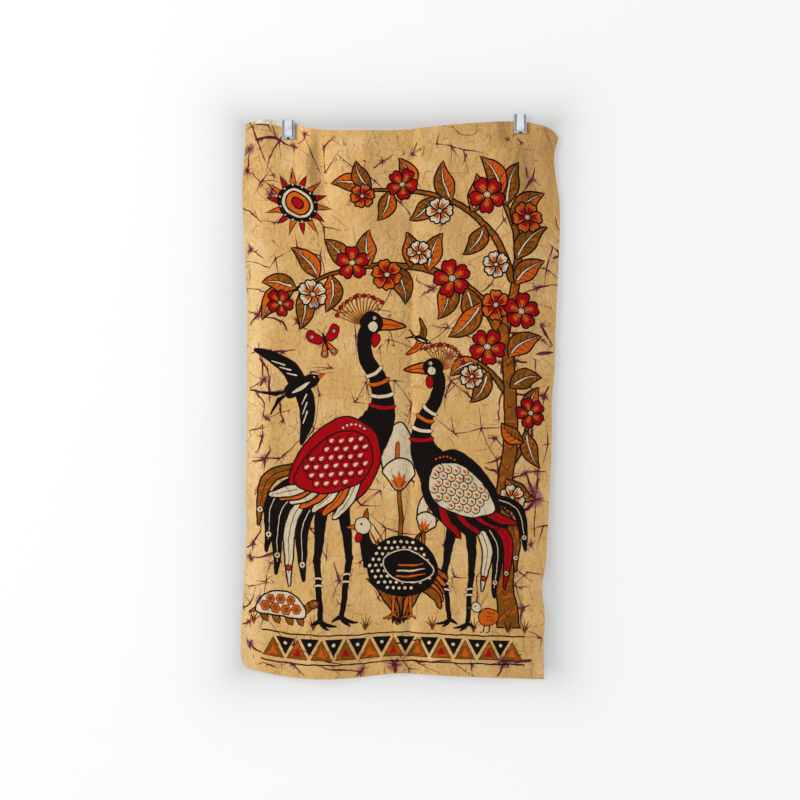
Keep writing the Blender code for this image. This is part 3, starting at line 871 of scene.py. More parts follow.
# The boldest cracks as they run on the cloth: greatest width, then points across and down
VEINS = (
    (3.8, (17, 32), (30, 30), (48, 28), (62, 33), (84, 39)),
    (1.7, (6, 1), (12, 16), (20, 32), (31, 61), (49, 88)),
    (1.5, (40, 3), (50, 25)),
    (1.4, (8, 46), (7, 80), (8, 96)),
    (1.4, (15, 85), (30, 105), (44, 118)),
    (2.0, (49, 102), (46, 118)),
    (2.6, (1, 138), (10, 146), (26, 162)),
    (1.5, (10, 208), (1, 222)),
    (1.5, (10, 208), (30, 222)),
    (1.4, (1, 226), (42, 237)),
    (1.7, (1, 269), (20, 273), (40, 279)),
    (1.7, (97, 10), (96, 20), (84, 33)),
    (1.6, (97, 20), (110, 45), (124, 73)),
    (2.2, (18, 314), (28, 290)),
    (2.6, (18, 314), (40, 317), (62, 322), (68, 336)),
    (1.8, (2, 308), (18, 314), (4, 330)),
    (2.2, (82, 312), (88, 325), (100, 331)),
    (2.0, (8, 375), (30, 371), (60, 370), (82, 367)),
    (2.4, (20, 360), (24, 385), (36, 405), (38, 412)),
    (1.8, (26, 375), (27, 410)),
    (1.8, (4, 408), (30, 417), (6, 432)),
    (2.8, (38, 412), (39, 440), (38, 452)),
    (2.6, (6, 435), (36, 438), (60, 433), (78, 433)),
    (2.6, (62, 436), (56, 448), (58, 470), (62, 480)),
    (2.0, (14, 436), (30, 455), (30, 470), (27, 485)),
    (1.6, (34, 478), (50, 472), (72, 463)),
    (2.0, (27, 490), (24, 496), (4, 501)),
    (2.4, (28, 490), (27, 510), (20, 535)),
    (2.4, (10, 550), (32, 545), (60, 540)),
    (2.2, (42, 530), (32, 543), (30, 570)),
    (2.2, (28, 608), (45, 603), (65, 594)),
    (1.8, (33, 650), (58, 642)),
    (2.0, (27, 640), (24, 660), (12, 682), (2, 692)),
    (1.6, (48, 668), (49, 690)),
    (2.8, (9, 706), (30, 700), (56, 690), (62, 706)),
    (1.4, (1, 752), (22, 747), (50, 738)),
    (1.6, (20, 750), (14, 772), (2, 790)),
    (1.8, (2, 816), (14, 805), (16, 793)),
    (2.0, (16, 838), (24, 848), (48, 853)),
    (2.0, (28, 872), (38, 867), (58, 868)),
    (1.8, (68, 866), (84, 860), (102, 876)),
    (2.2, (130, 862), (150, 868), (172, 868), (200, 874)),
    (2.0, (262, 860), (300, 862), (350, 857)),
    (1.8, (290, 862), (332, 878)),
    (1.6, (355, 860), (382, 876)),
    (1.6, (384, 850), (386, 878)),
    (3.4, (420, 850), (440, 855), (462, 854), (486, 851)),
    (2.4, (446, 836), (440, 856), (430, 878)),
    (2.0, (440, 855), (470, 842)),
    (2.2, (483, 762), (470, 768), (466, 798)),
    (1.5, (456, 702), (486, 722)),
    (1.4, (448, 735), (486, 731)),
    (2.0, (480, 654), (482, 664), (477, 672)),
    (1.8, (485, 584), (486, 652)),
    (3.4, (484, 590), (472, 605), (458, 612), (442, 622)),
    (2.2, (430, 578), (433, 600), (442, 622)),
    (1.5, (442, 622), (462, 645)),
    (1.8, (310, 318), (330, 322), (346, 320)),
    (1.4, (350, 322), (384, 347)),
    (2.8, (340, 348), (336, 366), (326, 376), (304, 388)),
    (1.6, (324, 358), (336, 366), (356, 366), (380, 374)),
    (2.0, (320, 350), (312, 362)),
    (2.2, (338, 406), (352, 402), (359, 395)),
    (2.8, (398, 376), (420, 374), (440, 372), (462, 372)),
    (3.6, (420, 374), (422, 390), (428, 396)),
    (2.0, (426, 392), (424, 410), (422, 440), (420, 464)),
    (1.8, (444, 378), (460, 402), (482, 420)),
    (3.8, (428, 417), (452, 424), (476, 422), (497, 424)),
    (3.2, (494, 424), (501, 407)),
    (2.6, (496, 424), (490, 450), (486, 462), (475, 474), (475, 500)),
    (1.2, (450, 460), (466, 455), (484, 460)),
    (3.6, (476, 358), (503, 351)),
    (3.0, (484, 306), (491, 325), (503, 340)),
    (1.8, (424, 325), (440, 328), (458, 324)),
    (1.6, (440, 328), (434, 350), (426, 364)),
    (1.6, (404, 496), (416, 495), (430, 510)),
    (2.4, (433, 521), (418, 530), (400, 536)),
    (3.0, (348, 531), (362, 538), (380, 543)),
    (2.8, (400, 542), (420, 550), (436, 567), (450, 556), (466, 548), (484, 546), (498, 544)),
    (3.2, (466, 549), (476, 570), (480, 584)),
    (2.6, (486, 546), (488, 574)),
    (2.0, (286, 34), (272, 40), (279, 24)),
    (1.2, (336, 5), (352, 18), (370, 18), (382, 11)),
    (2.2, (356, 60), (361, 47)),
    (2.2, (334, 106), (332, 128)),
    (2.4, (473, 66), (467, 84), (452, 102), (440, 120)),
    (1.8, (458, 68), (458, 84)),
    (2.2, (500, 134), (504, 150)),
    (2.4, (498, 202), (507, 192)),
    (1.6, (396, 222), (412, 206)),
    (2.4, (411, 234), (398, 256), (386, 262)),
    (2.4, (292, 266), (307, 258), (290, 250), (282, 244)),
    (2.2, (450, 266), (474, 254), (506, 240)),
    (1.6, (460, 270), (466, 290)),
    (1.4, (150, 40), (176, 62), (190, 66)),
    (1.6, (210, 62), (226, 50), (238, 42)),
    (2.0, (195, 50), (193, 76), (190, 101)),
    (2.2, (112, 296), (130, 286), (154, 300), (176, 297)),
    (1.4, (240, 300), (236, 324), (246, 350)),
    (1.8, (104, 640), (120, 662), (118, 690)),
    (1.6, (214, 640), (232, 664), (228, 690)),
    (2.2, (306, 580), (322, 600), (340, 596)),
    (1.8, (150, 700), (160, 730), (150, 756)),
)

# Where the wax broke worst: across, down and size of the blot
BLOTS = (
    (78, 38, 4), (49, 88, 3), (8, 46, 6), (7, 80, 4), (46, 118, 6), (10, 208, 5), (96, 12, 3.5),
    (18, 314, 6), (86, 320, 4), (60, 371, 3), (30, 417, 8), (61, 437, 4.5), (62, 480, 3), (34, 478, 6),
    (26, 510, 3), (32, 543, 7), (24, 594, 6), (43, 648, 6), (12, 683, 4), (48, 678, 3), (9, 706, 4.5),
    (26, 770, 5), (12, 805, 4), (16, 840, 6), (84, 862, 3), (200, 872, 7), (256, 868, 12), (386, 862, 3),
    (440, 855, 10), (462, 853, 6), (470, 768, 6), (481, 664, 4), (484, 590, 9), (442, 622, 6), (336, 366, 6),
    (320, 350, 4), (376, 377, 4), (420, 374, 5), (442, 372, 6), (425, 413, 4), (494, 423, 6), (486, 462, 3.5),
    (488, 335, 4), (486, 312, 3.5), (424, 325, 3), (440, 328, 3),
    (416, 495, 4.5), (433, 521, 4.5), (466, 549, 4),
    (486, 546, 5), (480, 578, 8), (365, 563, 3), (272, 40, 3.5), (430, 27, 3), (453, 32, 3), (467, 85, 3.5),
    (411, 234, 3), (307, 258, 5.5), (474, 254, 3.5), (116, 290, 6),
    (225, 50, 3), (160, 728, 4), (322, 600, 4),
)


@dataclass
class Crackle:
    """Dye that ran into cracks of the wax: veins, spiked blots, short ticks and stained areas."""

    seed: int = 11
    blots: int = 124
    spacing: float = 25.0
    stains: list = field(default_factory=list)

    def draw(self, drawing: Drawing, covered) -> None:
        """Adds the crackle to a drawing.

        Args:
            drawing: what it is added to.
            covered: tells for each of some points whether a motif will lie over it.
        """
        rng = np.random.default_rng(self.seed)
        for width, *corners in VEINS:
            self.bold_vein(drawing, rng, corners, width)
        for x, y, radius in BLOTS:
            self.blot(drawing, rng, (x, y), radius)
            self.hairs(drawing, rng, np.array((x, y)), rng.integers(3, 7), 0.6 + radius / 7)
            self.stains.append((x, y, radius * rng.uniform(1.3, 2.3)))
        sites = self.sites(rng)
        sites = sites[~covered(sites) | (rng.random(len(sites)) < 0.12)]
        for index, site in enumerate(sites):
            away = np.linalg.norm(sites - site, axis=1)
            away[index] = np.inf
            other = int(np.argmin(away))
            if away[other] < 80 and (other > index or rng.random() < 0.4):
                self.vein(drawing, rng, site, sites[other], both=True)
            for _ in range(rng.integers(1, 4)):
                angle = rng.choice((0.05, 1.45, 1.62, 2.0, 3.2, 4.0, 4.7, 5.4)) + rng.normal(0, 0.16)
                reach = rng.uniform(12, 46)
                end = site + reach * np.array([math.cos(angle), math.sin(angle)])
                self.vein(drawing, rng, site, end, both=False)
            self.hairs(drawing, rng, site, rng.integers(1, 4), 0.8)
            if rng.random() < 0.5:
                self.blot(drawing, rng, site, rng.uniform(2.4, 4.6))
        for _ in range(120):
            self.ticks(drawing, rng)

    def sites(self, rng) -> np.ndarray:
        """Further spots where the wax broke, clear of the boldest ones."""
        taken = [np.array((x, y)) for x, y, _ in BLOTS]
        kept: list = []
        for _ in range(6000):
            if len(kept) >= self.blots:
                break
            spot = np.array([rng.uniform(4, CANVAS_W - 4), rng.uniform(6, CANVAS_H - 6)])
            gap = self.spacing * rng.uniform(0.7, 1.4)
            if all(math.dist(spot, other) > gap for other in kept + taken):
                kept.append(spot)
        return np.array(kept)

    def bold_vein(self, drawing: Drawing, rng, corners: list, width: float) -> None:
        """One bold crack through given points, ragged and of uneven width."""
        path = [np.asarray(corners[0], float)]
        for start, end in zip(corners, corners[1:]):
            start, end = np.asarray(start, float), np.asarray(end, float)
            count = max(1, round(math.dist(start, end) / 8))
            for k in range(1, count + 1):
                path.append(start + (end - start) * k / count + rng.normal(0, 0.55, 2))
        path = np.array(path)
        share = np.linspace(0, 1, len(path))
        taper = 0.35 + 0.65 * np.sin(math.pi * np.clip(share + rng.uniform(-0.25, 0.25), 0.02, 0.98))
        widths = 1.5 * width * taper * rng.uniform(0.5, 1.3, len(path))
        drawing.stroke(path, widths, Dye.CRACKLE)
        for _ in range(rng.integers(1, 2 + len(path) // 3)):
            spot = path[rng.integers(0, len(path))]
            self.hairs(drawing, rng, spot, rng.integers(1, 3), 0.35 + 0.2 * width)

    def vein(self, drawing: Drawing, rng, start, end, both: bool) -> None:
        """One fine and nearly straight crack, widest where the wax broke."""
        length = math.dist(start, end)
        count = max(2, int(length / 17))
        t = np.linspace(0, 1, count + 1)[:, None]
        side = np.array([end[1] - start[1], start[0] - end[0]]) / max(length, 1e-6)
        shift = rng.normal(0, 0.028 * length, (count + 1, 1)) * np.sin(math.pi * t)
        path = start + (end - start) * t + side * shift
        wide = rng.uniform(1.3, 3.2)
        thin = rng.uniform(0.6, 1.3)
        widths = (wide, thin, thin * 0.8, wide * 0.8) if both else (wide, thin * 1.3, thin, 0.3)
        drawing.stroke(path, widths, Dye.CRACKLE)

    def hairs(self, drawing: Drawing, rng, spot, count: int, scale: float) -> None:
        """Short straight hairs that leave a spot."""
        for _ in range(count):
            angle = rng.uniform(0, 2 * math.pi)
            reach = rng.uniform(4, 13) * scale
            tip = spot + reach * np.array([math.cos(angle), math.sin(angle)])
            drawing.stroke(np.array([spot, tip]), (rng.uniform(1.1, 2.6), 0.4), Dye.CRACKLE)

    def ticks(self, drawing: Drawing, rng) -> None:
        """A few short slanted ticks side by side."""
        spot = np.array([rng.uniform(8, CANVAS_W - 8), rng.uniform(12, CANVAS_H - 12)])
        angle = rng.uniform(0.6, 2.4)
        run = np.array([math.cos(angle), math.sin(angle)])
        for _ in range(rng.integers(2, 5)):
            start = spot + rng.normal(0, 4.5, 2)
            end = start + run * rng.uniform(3, 9)
            drawing.stroke(np.array([start, end]), (0.4, rng.uniform(0.6, 1.3)), Dye.CRACKLE)

    def blot(self, drawing: Drawing, rng, spot, radius: float) -> None:
        """Spiked patch where several cracks meet, drawn out to one side."""
        angle = np.linspace(0, 2 * math.pi, 11, endpoint=False) + rng.normal(0, 0.14, 11)
        reach = np.where(np.arange(11) % 2, rng.uniform(0.20, 0.42, 11), rng.uniform(0.5, 1.25, 11)) * radius
        stretch = rng.uniform(1.0, 1.6)
        ring = np.column_stack([reach * stretch * np.cos(angle), reach / stretch * np.sin(angle)])
        drawing.fill(placed(ring, spot, rng.uniform(0, math.pi)), Dye.CRACKLE)


def inside_ring(ring: np.ndarray, points: np.ndarray) -> np.ndarray:
    """Tells for each point whether it lies inside a closed ring."""
    start, end = ring, np.roll(ring, -1, axis=0)
    x, y = points[:, 0][None], points[:, 1][None]
    x0, y0, x1, y1 = (v[:, None] for v in (start[:, 0], start[:, 1], end[:, 0], end[:, 1]))
    crossing = (y0 > y) != (y1 > y)
    run = np.where(y1 == y0, 1e-12, y1 - y0)
    hit = crossing & (x < x0 + (y - y0) * (x1 - x0) / run)
    return hit.sum(axis=0) % 2 == 1


def dye_at(points: np.ndarray, patches: list) -> np.ndarray:
    """Number of the dye that shows at each point once all patches are laid."""
    order = np.argsort(points[:, 0])
    ordered = points[order]
    dyes = np.full(len(points), Dye.OCHRE.value)
    for patch in patches:
        low, high = patch.ring.min(axis=0), patch.ring.max(axis=0)
        first, last = np.searchsorted(ordered[:, 0], (low[0], high[0]))
        y = ordered[first:last, 1]
        near = first + np.flatnonzero((y > low[1]) & (y < high[1]))
        if len(near):
            dyes[order[near[inside_ring(patch.ring, ordered[near])]]] = patch.dye.value
    return dyes


def draw_picture() -> tuple[Drawing, list]:
    """Draws the whole cloth: crackle on the ground first, then the motifs over it.

    Returns:
        The drawing, and the stained areas as rows of x, y and radius.
    """
    motifs = Drawing()
    Sun((88, 128), 31).draw(motifs)
    FloweringTree().draw(motifs)
    for tuft in ((120, 806), (206, 808), (318, 808), (388, 808), (446, 808), (474, 808), (20, 806)):
        GrassTuft(tuft).draw(motifs)
    LilyClump().draw(motifs)
    quills = (Dye.RED, Dye.BLACK)
    plumes = (Dye.BROWN, Dye.BLACK, Dye.RED, Dye.BLACK, Dye.CREAM)
    Crane((362, 794), 0.86, True, Dye.BLACK, Dye.CREAM, Dye.ORANGE, quills, plumes).draw(motifs)
    Crane().draw(motifs)
    GuineaFowl((262, 704), 0.98).draw(motifs)
    Tortoise((64, 786), 0.78).draw(motifs)
    Chick((409, 783)).draw(motifs)
    Butterfly((132, 348), -1.9, 0.8).draw(motifs)
    Swallow((88, 424), -0.5, 1.36, (Dye.BLACK, Dye.BLACK), Dye.CREAM).draw(motifs)
    Swallow((290, 340), 0.35, 0.52).draw(motifs)
    BorderBand().draw(motifs)

    def covered(points: np.ndarray) -> np.ndarray:
        """Tells which points a motif lies over."""
        return dye_at(points, motifs.patches) != Dye.OCHRE.value

    picture = Drawing()
    crackle = Crackle()
    crackle.draw(picture, covered)
    picture.patches.extend(motifs.patches)
    selvedge = smooth(
        [(-1, 1.5), (6, 2.4), (14, 4.4), (22, 6.4), (40, 7.4), (56, 7.6), (68, 6.4), (78, 3.0), (86, 0.6)]
    )
    picture.patches.append(Patch(np.vstack([selvedge, [(86, -1), (-1, -1)]]), Dye.BARE))
    return picture, crackle.stains
# The sheet as it hangs: the same tables as the solid's, in millimetres

# Top edge as it hangs: x, z
TOP_EDGE = (
    (-68.9, 9.1),
    (-62.0, 13.6),
    (-52.7, 15.6),
    (-26.7, 15.6),
    (-12.0, 13.6),
    (-7.0, 11.0),
    (7.5, 11.0),
    (12.5, 10.6),
    (22.1, 5.9),
    (36.7, 1.5),
    (56.2, -1.8),
    (101.7, -3.4),
    (181.4, -2.3),
    (266.8, 5.9),
    (327.6, 10.9),
    (364.3, 13.5),
    (388.0, 11.9),
    (404.0, 8.6),
    (420.9, 3.1),
    (430.8, -3.7),
    (438.8, -13.8),
)

# Bottom edge: x, z
BOTTOM_EDGE = (
    (-73.5, -864.3),
    (-67.0, -874.4),
    (-45.3, -878.5),
    (-20.5, -884.3),
    (6.0, -888.4),
    (45.8, -891.0),
    (79.0, -891.0),
    (112.1, -889.2),
    (153.7, -884.3),
    (181.4, -882.5),
    (230.0, -884.5),
    (283.7, -887.1),
    (343.9, -889.4),
    (415.4, -892.3),
)

# Left edge: z, x
LEFT_EDGE = (
    (-864.3, -73.5),
    (-853.3, -76.9),
    (-801.3, -76.5),
    (-755.8, -73.1),
    (-698.9, -70.5),
    (-642.0, -67.3),
    (-598.2, -68.9),
    (-487.7, -67.3),
    (-276.4, -67.3),
    (-235.8, -68.9),
    (-178.9, -71.3),
    (-120.4, -73.8),
    (-81.4, -73.8),
    (-27.8, -69.7),
    (9.1, -68.9),
)

# Right edge: z, x
RIGHT_EDGE = (
    (-892.3, 415.4),
    (-828.9, 414.9),
    (-788.3, 416.5),
    (-747.7, 412.1),
    (-698.9, 418.3),
    (-658.3, 420.9),
    (-555.9, 425.9),
    (-495.8, 427.7),
    (-432.4, 428.4),
    (-382.0, 432.9),
    (-323.5, 433.7),
    (-235.8, 437.9),
    (-172.4, 440.7),
    (-118.8, 440.5),
    (-97.7, 437.3),
    (-65.2, 432.6),
    (-40.8, 431.9),
    (-13.8, 438.8),
)


@dataclass(frozen=True)
class Fold:
    """A soft ridge, or a trough where lift is negative, from head to foot, in millimetres."""

    head_x: float
    head_z: float
    foot_x: float
    foot_z: float
    half_width: float
    lift: float

    def height(self, x: np.ndarray, z: np.ndarray) -> np.ndarray:
        """Height that the fold adds at each point."""
        run_x, run_z = self.foot_x - self.head_x, self.foot_z - self.head_z
        length = math.hypot(run_x, run_z)
        along = ((x - self.head_x) * run_x + (z - self.head_z) * run_z) / length**2
        aside = ((x - self.head_x) * run_z - (z - self.head_z) * run_x) / length
        ends = np.sin(math.pi * np.clip(along, 0.0, 1.0)) ** 0.7
        return self.lift * ends * np.exp(-((aside / self.half_width) ** 2))


# Main folds, which the solid has too
MAIN_FOLDS = (
    Fold(24, 20, 34, -150, 13, 5.0),
    Fold(51, 10, 60, -150, 12, -5.0),
    Fold(112, 40, 128, -260, 42, 8.0),
    Fold(250, 40, 238, -230, 34, 4.5),
    Fold(203, 60, 197, -960, 15, -3.2),
    Fold(-120, -426, 500, -420, 12, -1.8),
    Fold(372, -14, 300, -160, 20, 3.5),
    Fold(388, -20, 404, -170, 17, -4.0),
    Fold(362, -24, 358, -250, 30, 3.5),
    Fold(-38, -250, -40, -640, 22, 3.0),
    Fold(-90, -668, 0, -690, 13, 3.0),
    Fold(-90, -600, -10, -612, 12, -2.0),
    Fold(42, -700, 52, -960, 40, 6.5),
    Fold(150, -760, 160, -960, 44, -4.5),
    Fold(300, -740, 292, -960, 60, 4.0),
    Fold(382, -700, 381, -820, 10, -2.5),
    Fold(360, -742, 480, -752, 14, -4.0),
    Fold(392, -150, 380, -560, 34, 3.5),
    Fold(198, -790, 196, -985, 17, -4.0),
)

# Ironed creases and small packing creases, too fine for the solid
FINE_CREASES = (
    Fold(203, 60, 197, -960, 4.0, -1.3),
    Fold(211, 60, 205, -960, 5.0, 0.8),
    Fold(-120, -426, 500, -420, 3.6, -1.2),
    Fold(-120, -418, 500, -412, 4.4, 0.7),
    Fold(366, -484, 420, -501, 2.8, 0.8),
    Fold(383, -700, 381, -812, 2.6, -1.1),
    Fold(389, -704, 387, -808, 3.0, 0.6),
    Fold(328, -742, 432, -728, 3.2, 0.8),
    Fold(-80, -662, -6, -676, 3.4, 0.9),
    Fold(-80, -690, -20, -700, 3.4, -0.7),
    Fold(-80, -640, -30, -634, 3.2, 0.6),
    Fold(-22, -640, -48, -740, 4.4, 1.0),
    Fold(18, 4, 14, -66, 3.4, 1.0),
    Fold(30, 2, 46, -78, 3.6, -0.8),
    Fold(6, -24, 40, -96, 3.4, 0.7),
    Fold(-6, -22, -36, -80, 3.4, 0.6),
    Fold(380, -14, 352, -84, 3.4, 0.8),
    Fold(384, -14, 392, -92, 3.0, -0.8),
    Fold(370, -12, 318, -60, 3.4, 0.6),
    Fold(-60, -190, 30, -204, 3.0, 0.5),
    Fold(300, -250, 440, -262, 3.2, 0.5),
    Fold(60, -560, 190, -556, 3.0, -0.5),
    Fold(230, -590, 420, -604, 3.2, 0.5),
    Fold(96, -830, 130, -900, 4.2, 1.0),
    Fold(222, -820, 236, -900, 4.0, -0.8),
    Fold(46, 12, 48, -84, 7.0, -1.6),
    Fold(94, 6, 112, -70, 9.0, -1.4),
    Fold(219, 20, 216, -90, 8.0, 1.6),
    Fold(182, -770, 186, -990, 11.0, 4.8),
    Fold(150, -830, 156, -960, 12.0, 1.8),
    Fold(356, -820, 362, -920, 8.0, -1.5),
    Fold(-58, -590, -16, -640, 6.0, 1.5),
    Fold(-66, -650, -8, -700, 6.0, 1.4),
    Fold(-70, -722, -20, -762, 6.0, 1.1),
    Fold(340, -30, 300, -120, 7.0, 1.2),
    Fold(352, -20, 250, -110, 6.0, -1.0),
    Fold(-70, -742, 0, -650, 11.0, 2.4),
    Fold(-74, -820, -30, -770, 10.0, 1.8),
    Fold(140, -820, 172, -930, 12.0, 1.6),
)

BASE_STAND_OFF = 8.5
LEAST_STAND_OFF = 2.1
# The sides and the foot turn back to the wall, the left side more and more below its clip
LEFT_TURN = 0.78
LEFT_TURN_START = 20
LEFT_TURN_GROWS_OVER = 140
LEFT_TURN_WIDTH = 44
RIGHT_TURN = 0.60
RIGHT_TURN_WIDTH = 75
FOOT_TURN = 0.35
FOOT_TURN_START = -800
FOOT_TURN_HEIGHT = 90
# The slack top edge leans into the room between the clips
LEAN = 6.0
LEAN_FADE = 80
LEAN_FROM_LEFT_CLIP = 10
LEAN_GROWS_OVER = 60
LEAN_ENDS_AFTER = 90
# Height of each set of waves in the ripple
RIPPLE_CROSSED, RIPPLE_SLANTED, RIPPLE_LEANING, RIPPLE_UPRIGHT = 0.32, 0.16, 0.30, 0.24
EDGE_PULL = 3.0
SHEET_IN_CLIP = 1.9
CLIP_WIDTH = 20.0
CLIP_HEIGHT = 31.2
CLIP_MIDDLES = ((0.0, 0.0), (376.5, 9.4))
GRIP_MARGIN = 3.5
GRIP_FADE = 30.0


def read_curve(table: tuple, at: np.ndarray) -> np.ndarray:
    """Reads a smooth curve through a table's rows at given values of its first column."""
    first, second = np.array(table, float).T
    at = np.clip(at, first[0], first[-1])
    ends = np.pad(np.arange(len(first)), 1, mode="edge")
    slope = (second[ends[2:]] - second[ends[:-2]]) / (first[ends[2:]] - first[ends[:-2]])
    row = np.clip(np.searchsorted(first, at) - 1, 0, len(first) - 2)
    span = first[row + 1] - first[row]
    t = (at - first[row]) / span
    rise = t * t * (3 - 2 * t)
    bend = t * (1 - t) * span * ((1 - t) * slope[row] - t * slope[row + 1])
    return second[row] + (second[row + 1] - second[row]) * rise + bend


def ease(value: np.ndarray) -> np.ndarray:
    """Runs smoothly from 0 to 1 as value does."""
    value = np.clip(value, 0.0, 1.0)
    return value * value * (3 - 2 * value)


@dataclass(frozen=True)
class HungSheet:
    """Where each point of the flat cloth hangs."""

    thick: float = 0.7

    def outline_place(self, flat: np.ndarray) -> tuple[np.ndarray, np.ndarray]:
        """Places points of the flat cloth inside its hung outline.

        Args:
            flat: points across and down the cloth, in millimetres.

        Returns:
            Their x and z.
        """
        across = flat[:, 0] / CANVAS_W
        up = 1.0 - flat[:, 1] / CANVAS_H
        corners = [
            np.array(row)[:, None]
            for row in (TOP_EDGE[0], TOP_EDGE[-1], BOTTOM_EDGE[0], BOTTOM_EDGE[-1])
        ]
        top = corners[0] + (corners[1] - corners[0]) * across
        low = corners[2] + (corners[3] - corners[2]) * across
        left = corners[2] + (corners[0] - corners[2]) * up
        right = corners[3] + (corners[1] - corners[3]) * up
        x, z = low + (top - low) * up
        z = z + (read_curve(TOP_EDGE, top[0]) - top[1]) * up**EDGE_PULL
        z = z + (read_curve(BOTTOM_EDGE, low[0]) - low[1]) * (1 - up) ** EDGE_PULL
        x = x + (read_curve(LEFT_EDGE, left[1]) - left[0]) * (1 - across) ** EDGE_PULL
        x = x + (read_curve(RIGHT_EDGE, right[1]) - right[0]) * across**EDGE_PULL
        return x, z

    def grip_share(self, x: np.ndarray, z: np.ndarray) -> np.ndarray:
        """1 where a clip presses the sheet flat, fading to 0 away from it."""
        share = np.zeros(len(x))
        for middle_x, middle_z in CLIP_MIDDLES:
            past_side = np.abs(x - middle_x) - CLIP_WIDTH / 2 - GRIP_MARGIN
            past_foot = middle_z - CLIP_HEIGHT / 2 - GRIP_MARGIN - z
            away = np.hypot(np.maximum(past_side, 0.0), np.maximum(past_foot, 0.0))
            share = np.maximum(share, 1.0 - ease(away / GRIP_FADE))
        return share

    def stand_off(self, x: np.ndarray, z: np.ndarray) -> np.ndarray:
        """How far the middle of the sheet stands from the wall at each point."""
        turned = LEFT_TURN * (1.0 - np.exp((z - LEFT_TURN_START) / LEFT_TURN_GROWS_OVER))
        turn_left = 1.0 - turned * (1.0 - ease((x - read_curve(LEFT_EDGE, z)) / LEFT_TURN_WIDTH))
        turn_right = 1.0 - RIGHT_TURN * (1.0 - ease((read_curve(RIGHT_EDGE, z) - x) / RIGHT_TURN_WIDTH))
        turn_foot = 1.0 - FOOT_TURN * ease((FOOT_TURN_START - z) / FOOT_TURN_HEIGHT)
        from_left = ease((x - LEAN_FROM_LEFT_CLIP) / LEAN_GROWS_OVER)
        from_right = ease((CLIP_MIDDLES[1][0] - x) / LEAN_ENDS_AFTER)
        lean = LEAN * np.exp(z / LEAN_FADE) * from_left * from_right
        height = BASE_STAND_OFF * turn_left * turn_right * turn_foot + lean
        for fold in MAIN_FOLDS:
            height = height + fold.height(x, z)
        fine = self.ripple(x, z)
        for crease in FINE_CREASES:
            fine = fine + crease.height(x, z)
        height = np.maximum(height + fine, LEAST_STAND_OFF)
        grip = self.grip_share(x, z)
        return height * (1.0 - grip) + SHEET_IN_CLIP * grip

    def ripple(self, x: np.ndarray, z: np.ndarray) -> np.ndarray:
        """Slight waviness that ironing leaves in cotton."""
        crossed = np.sin(x / 11.0 + 1.7 * np.sin(z / 47.0)) * np.sin(z / 19.0 + 1.3 * np.sin(x / 39.0))
        slanted = np.sin((x + z) / 7.3 + 1.9 * np.sin((x - z) / 61.0))
        leaning = np.sin((x - 0.6 * z) / 15.7 + 2.1 * np.sin(z / 83.0))
        upright = np.sin(x / 4.6 + 1.6 * np.sin(z / 130.0)) * (0.6 + 0.4 * np.sin(z / 95.0 + x / 60.0))
        low = RIPPLE_CROSSED * crossed + RIPPLE_SLANTED * slanted
        return low + RIPPLE_LEANING * leaning + RIPPLE_UPRIGHT * upright

    def place(self, flat: np.ndarray) -> np.ndarray:
        """Hangs points of the flat cloth: their x, y and z, in millimetres."""
        x, z = self.outline_place(flat)
        return np.column_stack([x, -self.stand_off(x, z), z])

    def normals(self, flat: np.ndarray) -> np.ndarray:
        """Directions in which the picture side faces at points of the flat cloth."""
        reach = 0.8
        inner = np.clip(flat, (reach, reach), (CANVAS_W - reach, CANVAS_H - reach))
        across = self.place(inner + (reach, 0)) - self.place(inner - (reach, 0))
        down = self.place(inner + (0, reach)) - self.place(inner - (0, reach))
        normal = np.cross(down, across)
        normal *= np.where(normal[:, 1:2] > 0, -1, 1)
        return normal / np.linalg.norm(normal, axis=1, keepdims=True)


# Net of triangles

WELD_MM = 0.3
LATTICE_MM = 6.6
CLEAR_MM = 2.2
BORDER_STEP_MM = 4.0


def border_points() -> np.ndarray:
    """Points round the cloth's four sides, clockwise from the top left corner."""
    across = np.linspace(0, CANVAS_W, round(CANVAS_W / BORDER_STEP_MM) + 1)
    down = np.linspace(0, CANVAS_H, round(CANVAS_H / BORDER_STEP_MM) + 1)
    top = np.column_stack([across, np.zeros(len(across))])
    right = np.column_stack([np.full(len(down), CANVAS_W), down])
    foot = np.column_stack([across[::-1], np.full(len(across), CANVAS_H)])
    left = np.column_stack([np.zeros(len(down)), down[::-1]])
    return np.vstack([top[:-1], right[:-1], foot[:-1], left[:-1]])


def ring_edges(count: int, start: int) -> np.ndarray:
    """Pairs of neighbours round a closed ring of points."""
    index = np.arange(count)
    return np.column_stack([index, (index + 1) % count]) + start


def triangulate(points: np.ndarray, edges: np.ndarray) -> tuple[np.ndarray, np.ndarray]:
    """Joins points into triangles that keep the edges given.

    Args:
        points: places across and down the cloth.
        edges: pairs of points that a triangle's side has to join.

    Returns:
        The points, with one more at each crossing of two edges, and the triangles.
    """
    corners = [Vector((x, y)) for x, y in points.tolist()]
    joined = delaunay_2d_cdt(corners, edges.tolist(), [], 0, 1e-4, False)
    return np.array([tuple(v) for v in joined[0]]), np.array(joined[2])


def sides_of(triangles: np.ndarray) -> tuple[np.ndarray, np.ndarray]:
    """Every side of every triangle once, and for each triangle's three sides its row there."""
    sides = np.sort(np.vstack([triangles[:, (0, 1)], triangles[:, (1, 2)], triangles[:, (2, 0)]]), axis=1)
    return np.unique(sides, axis=0, return_inverse=True)


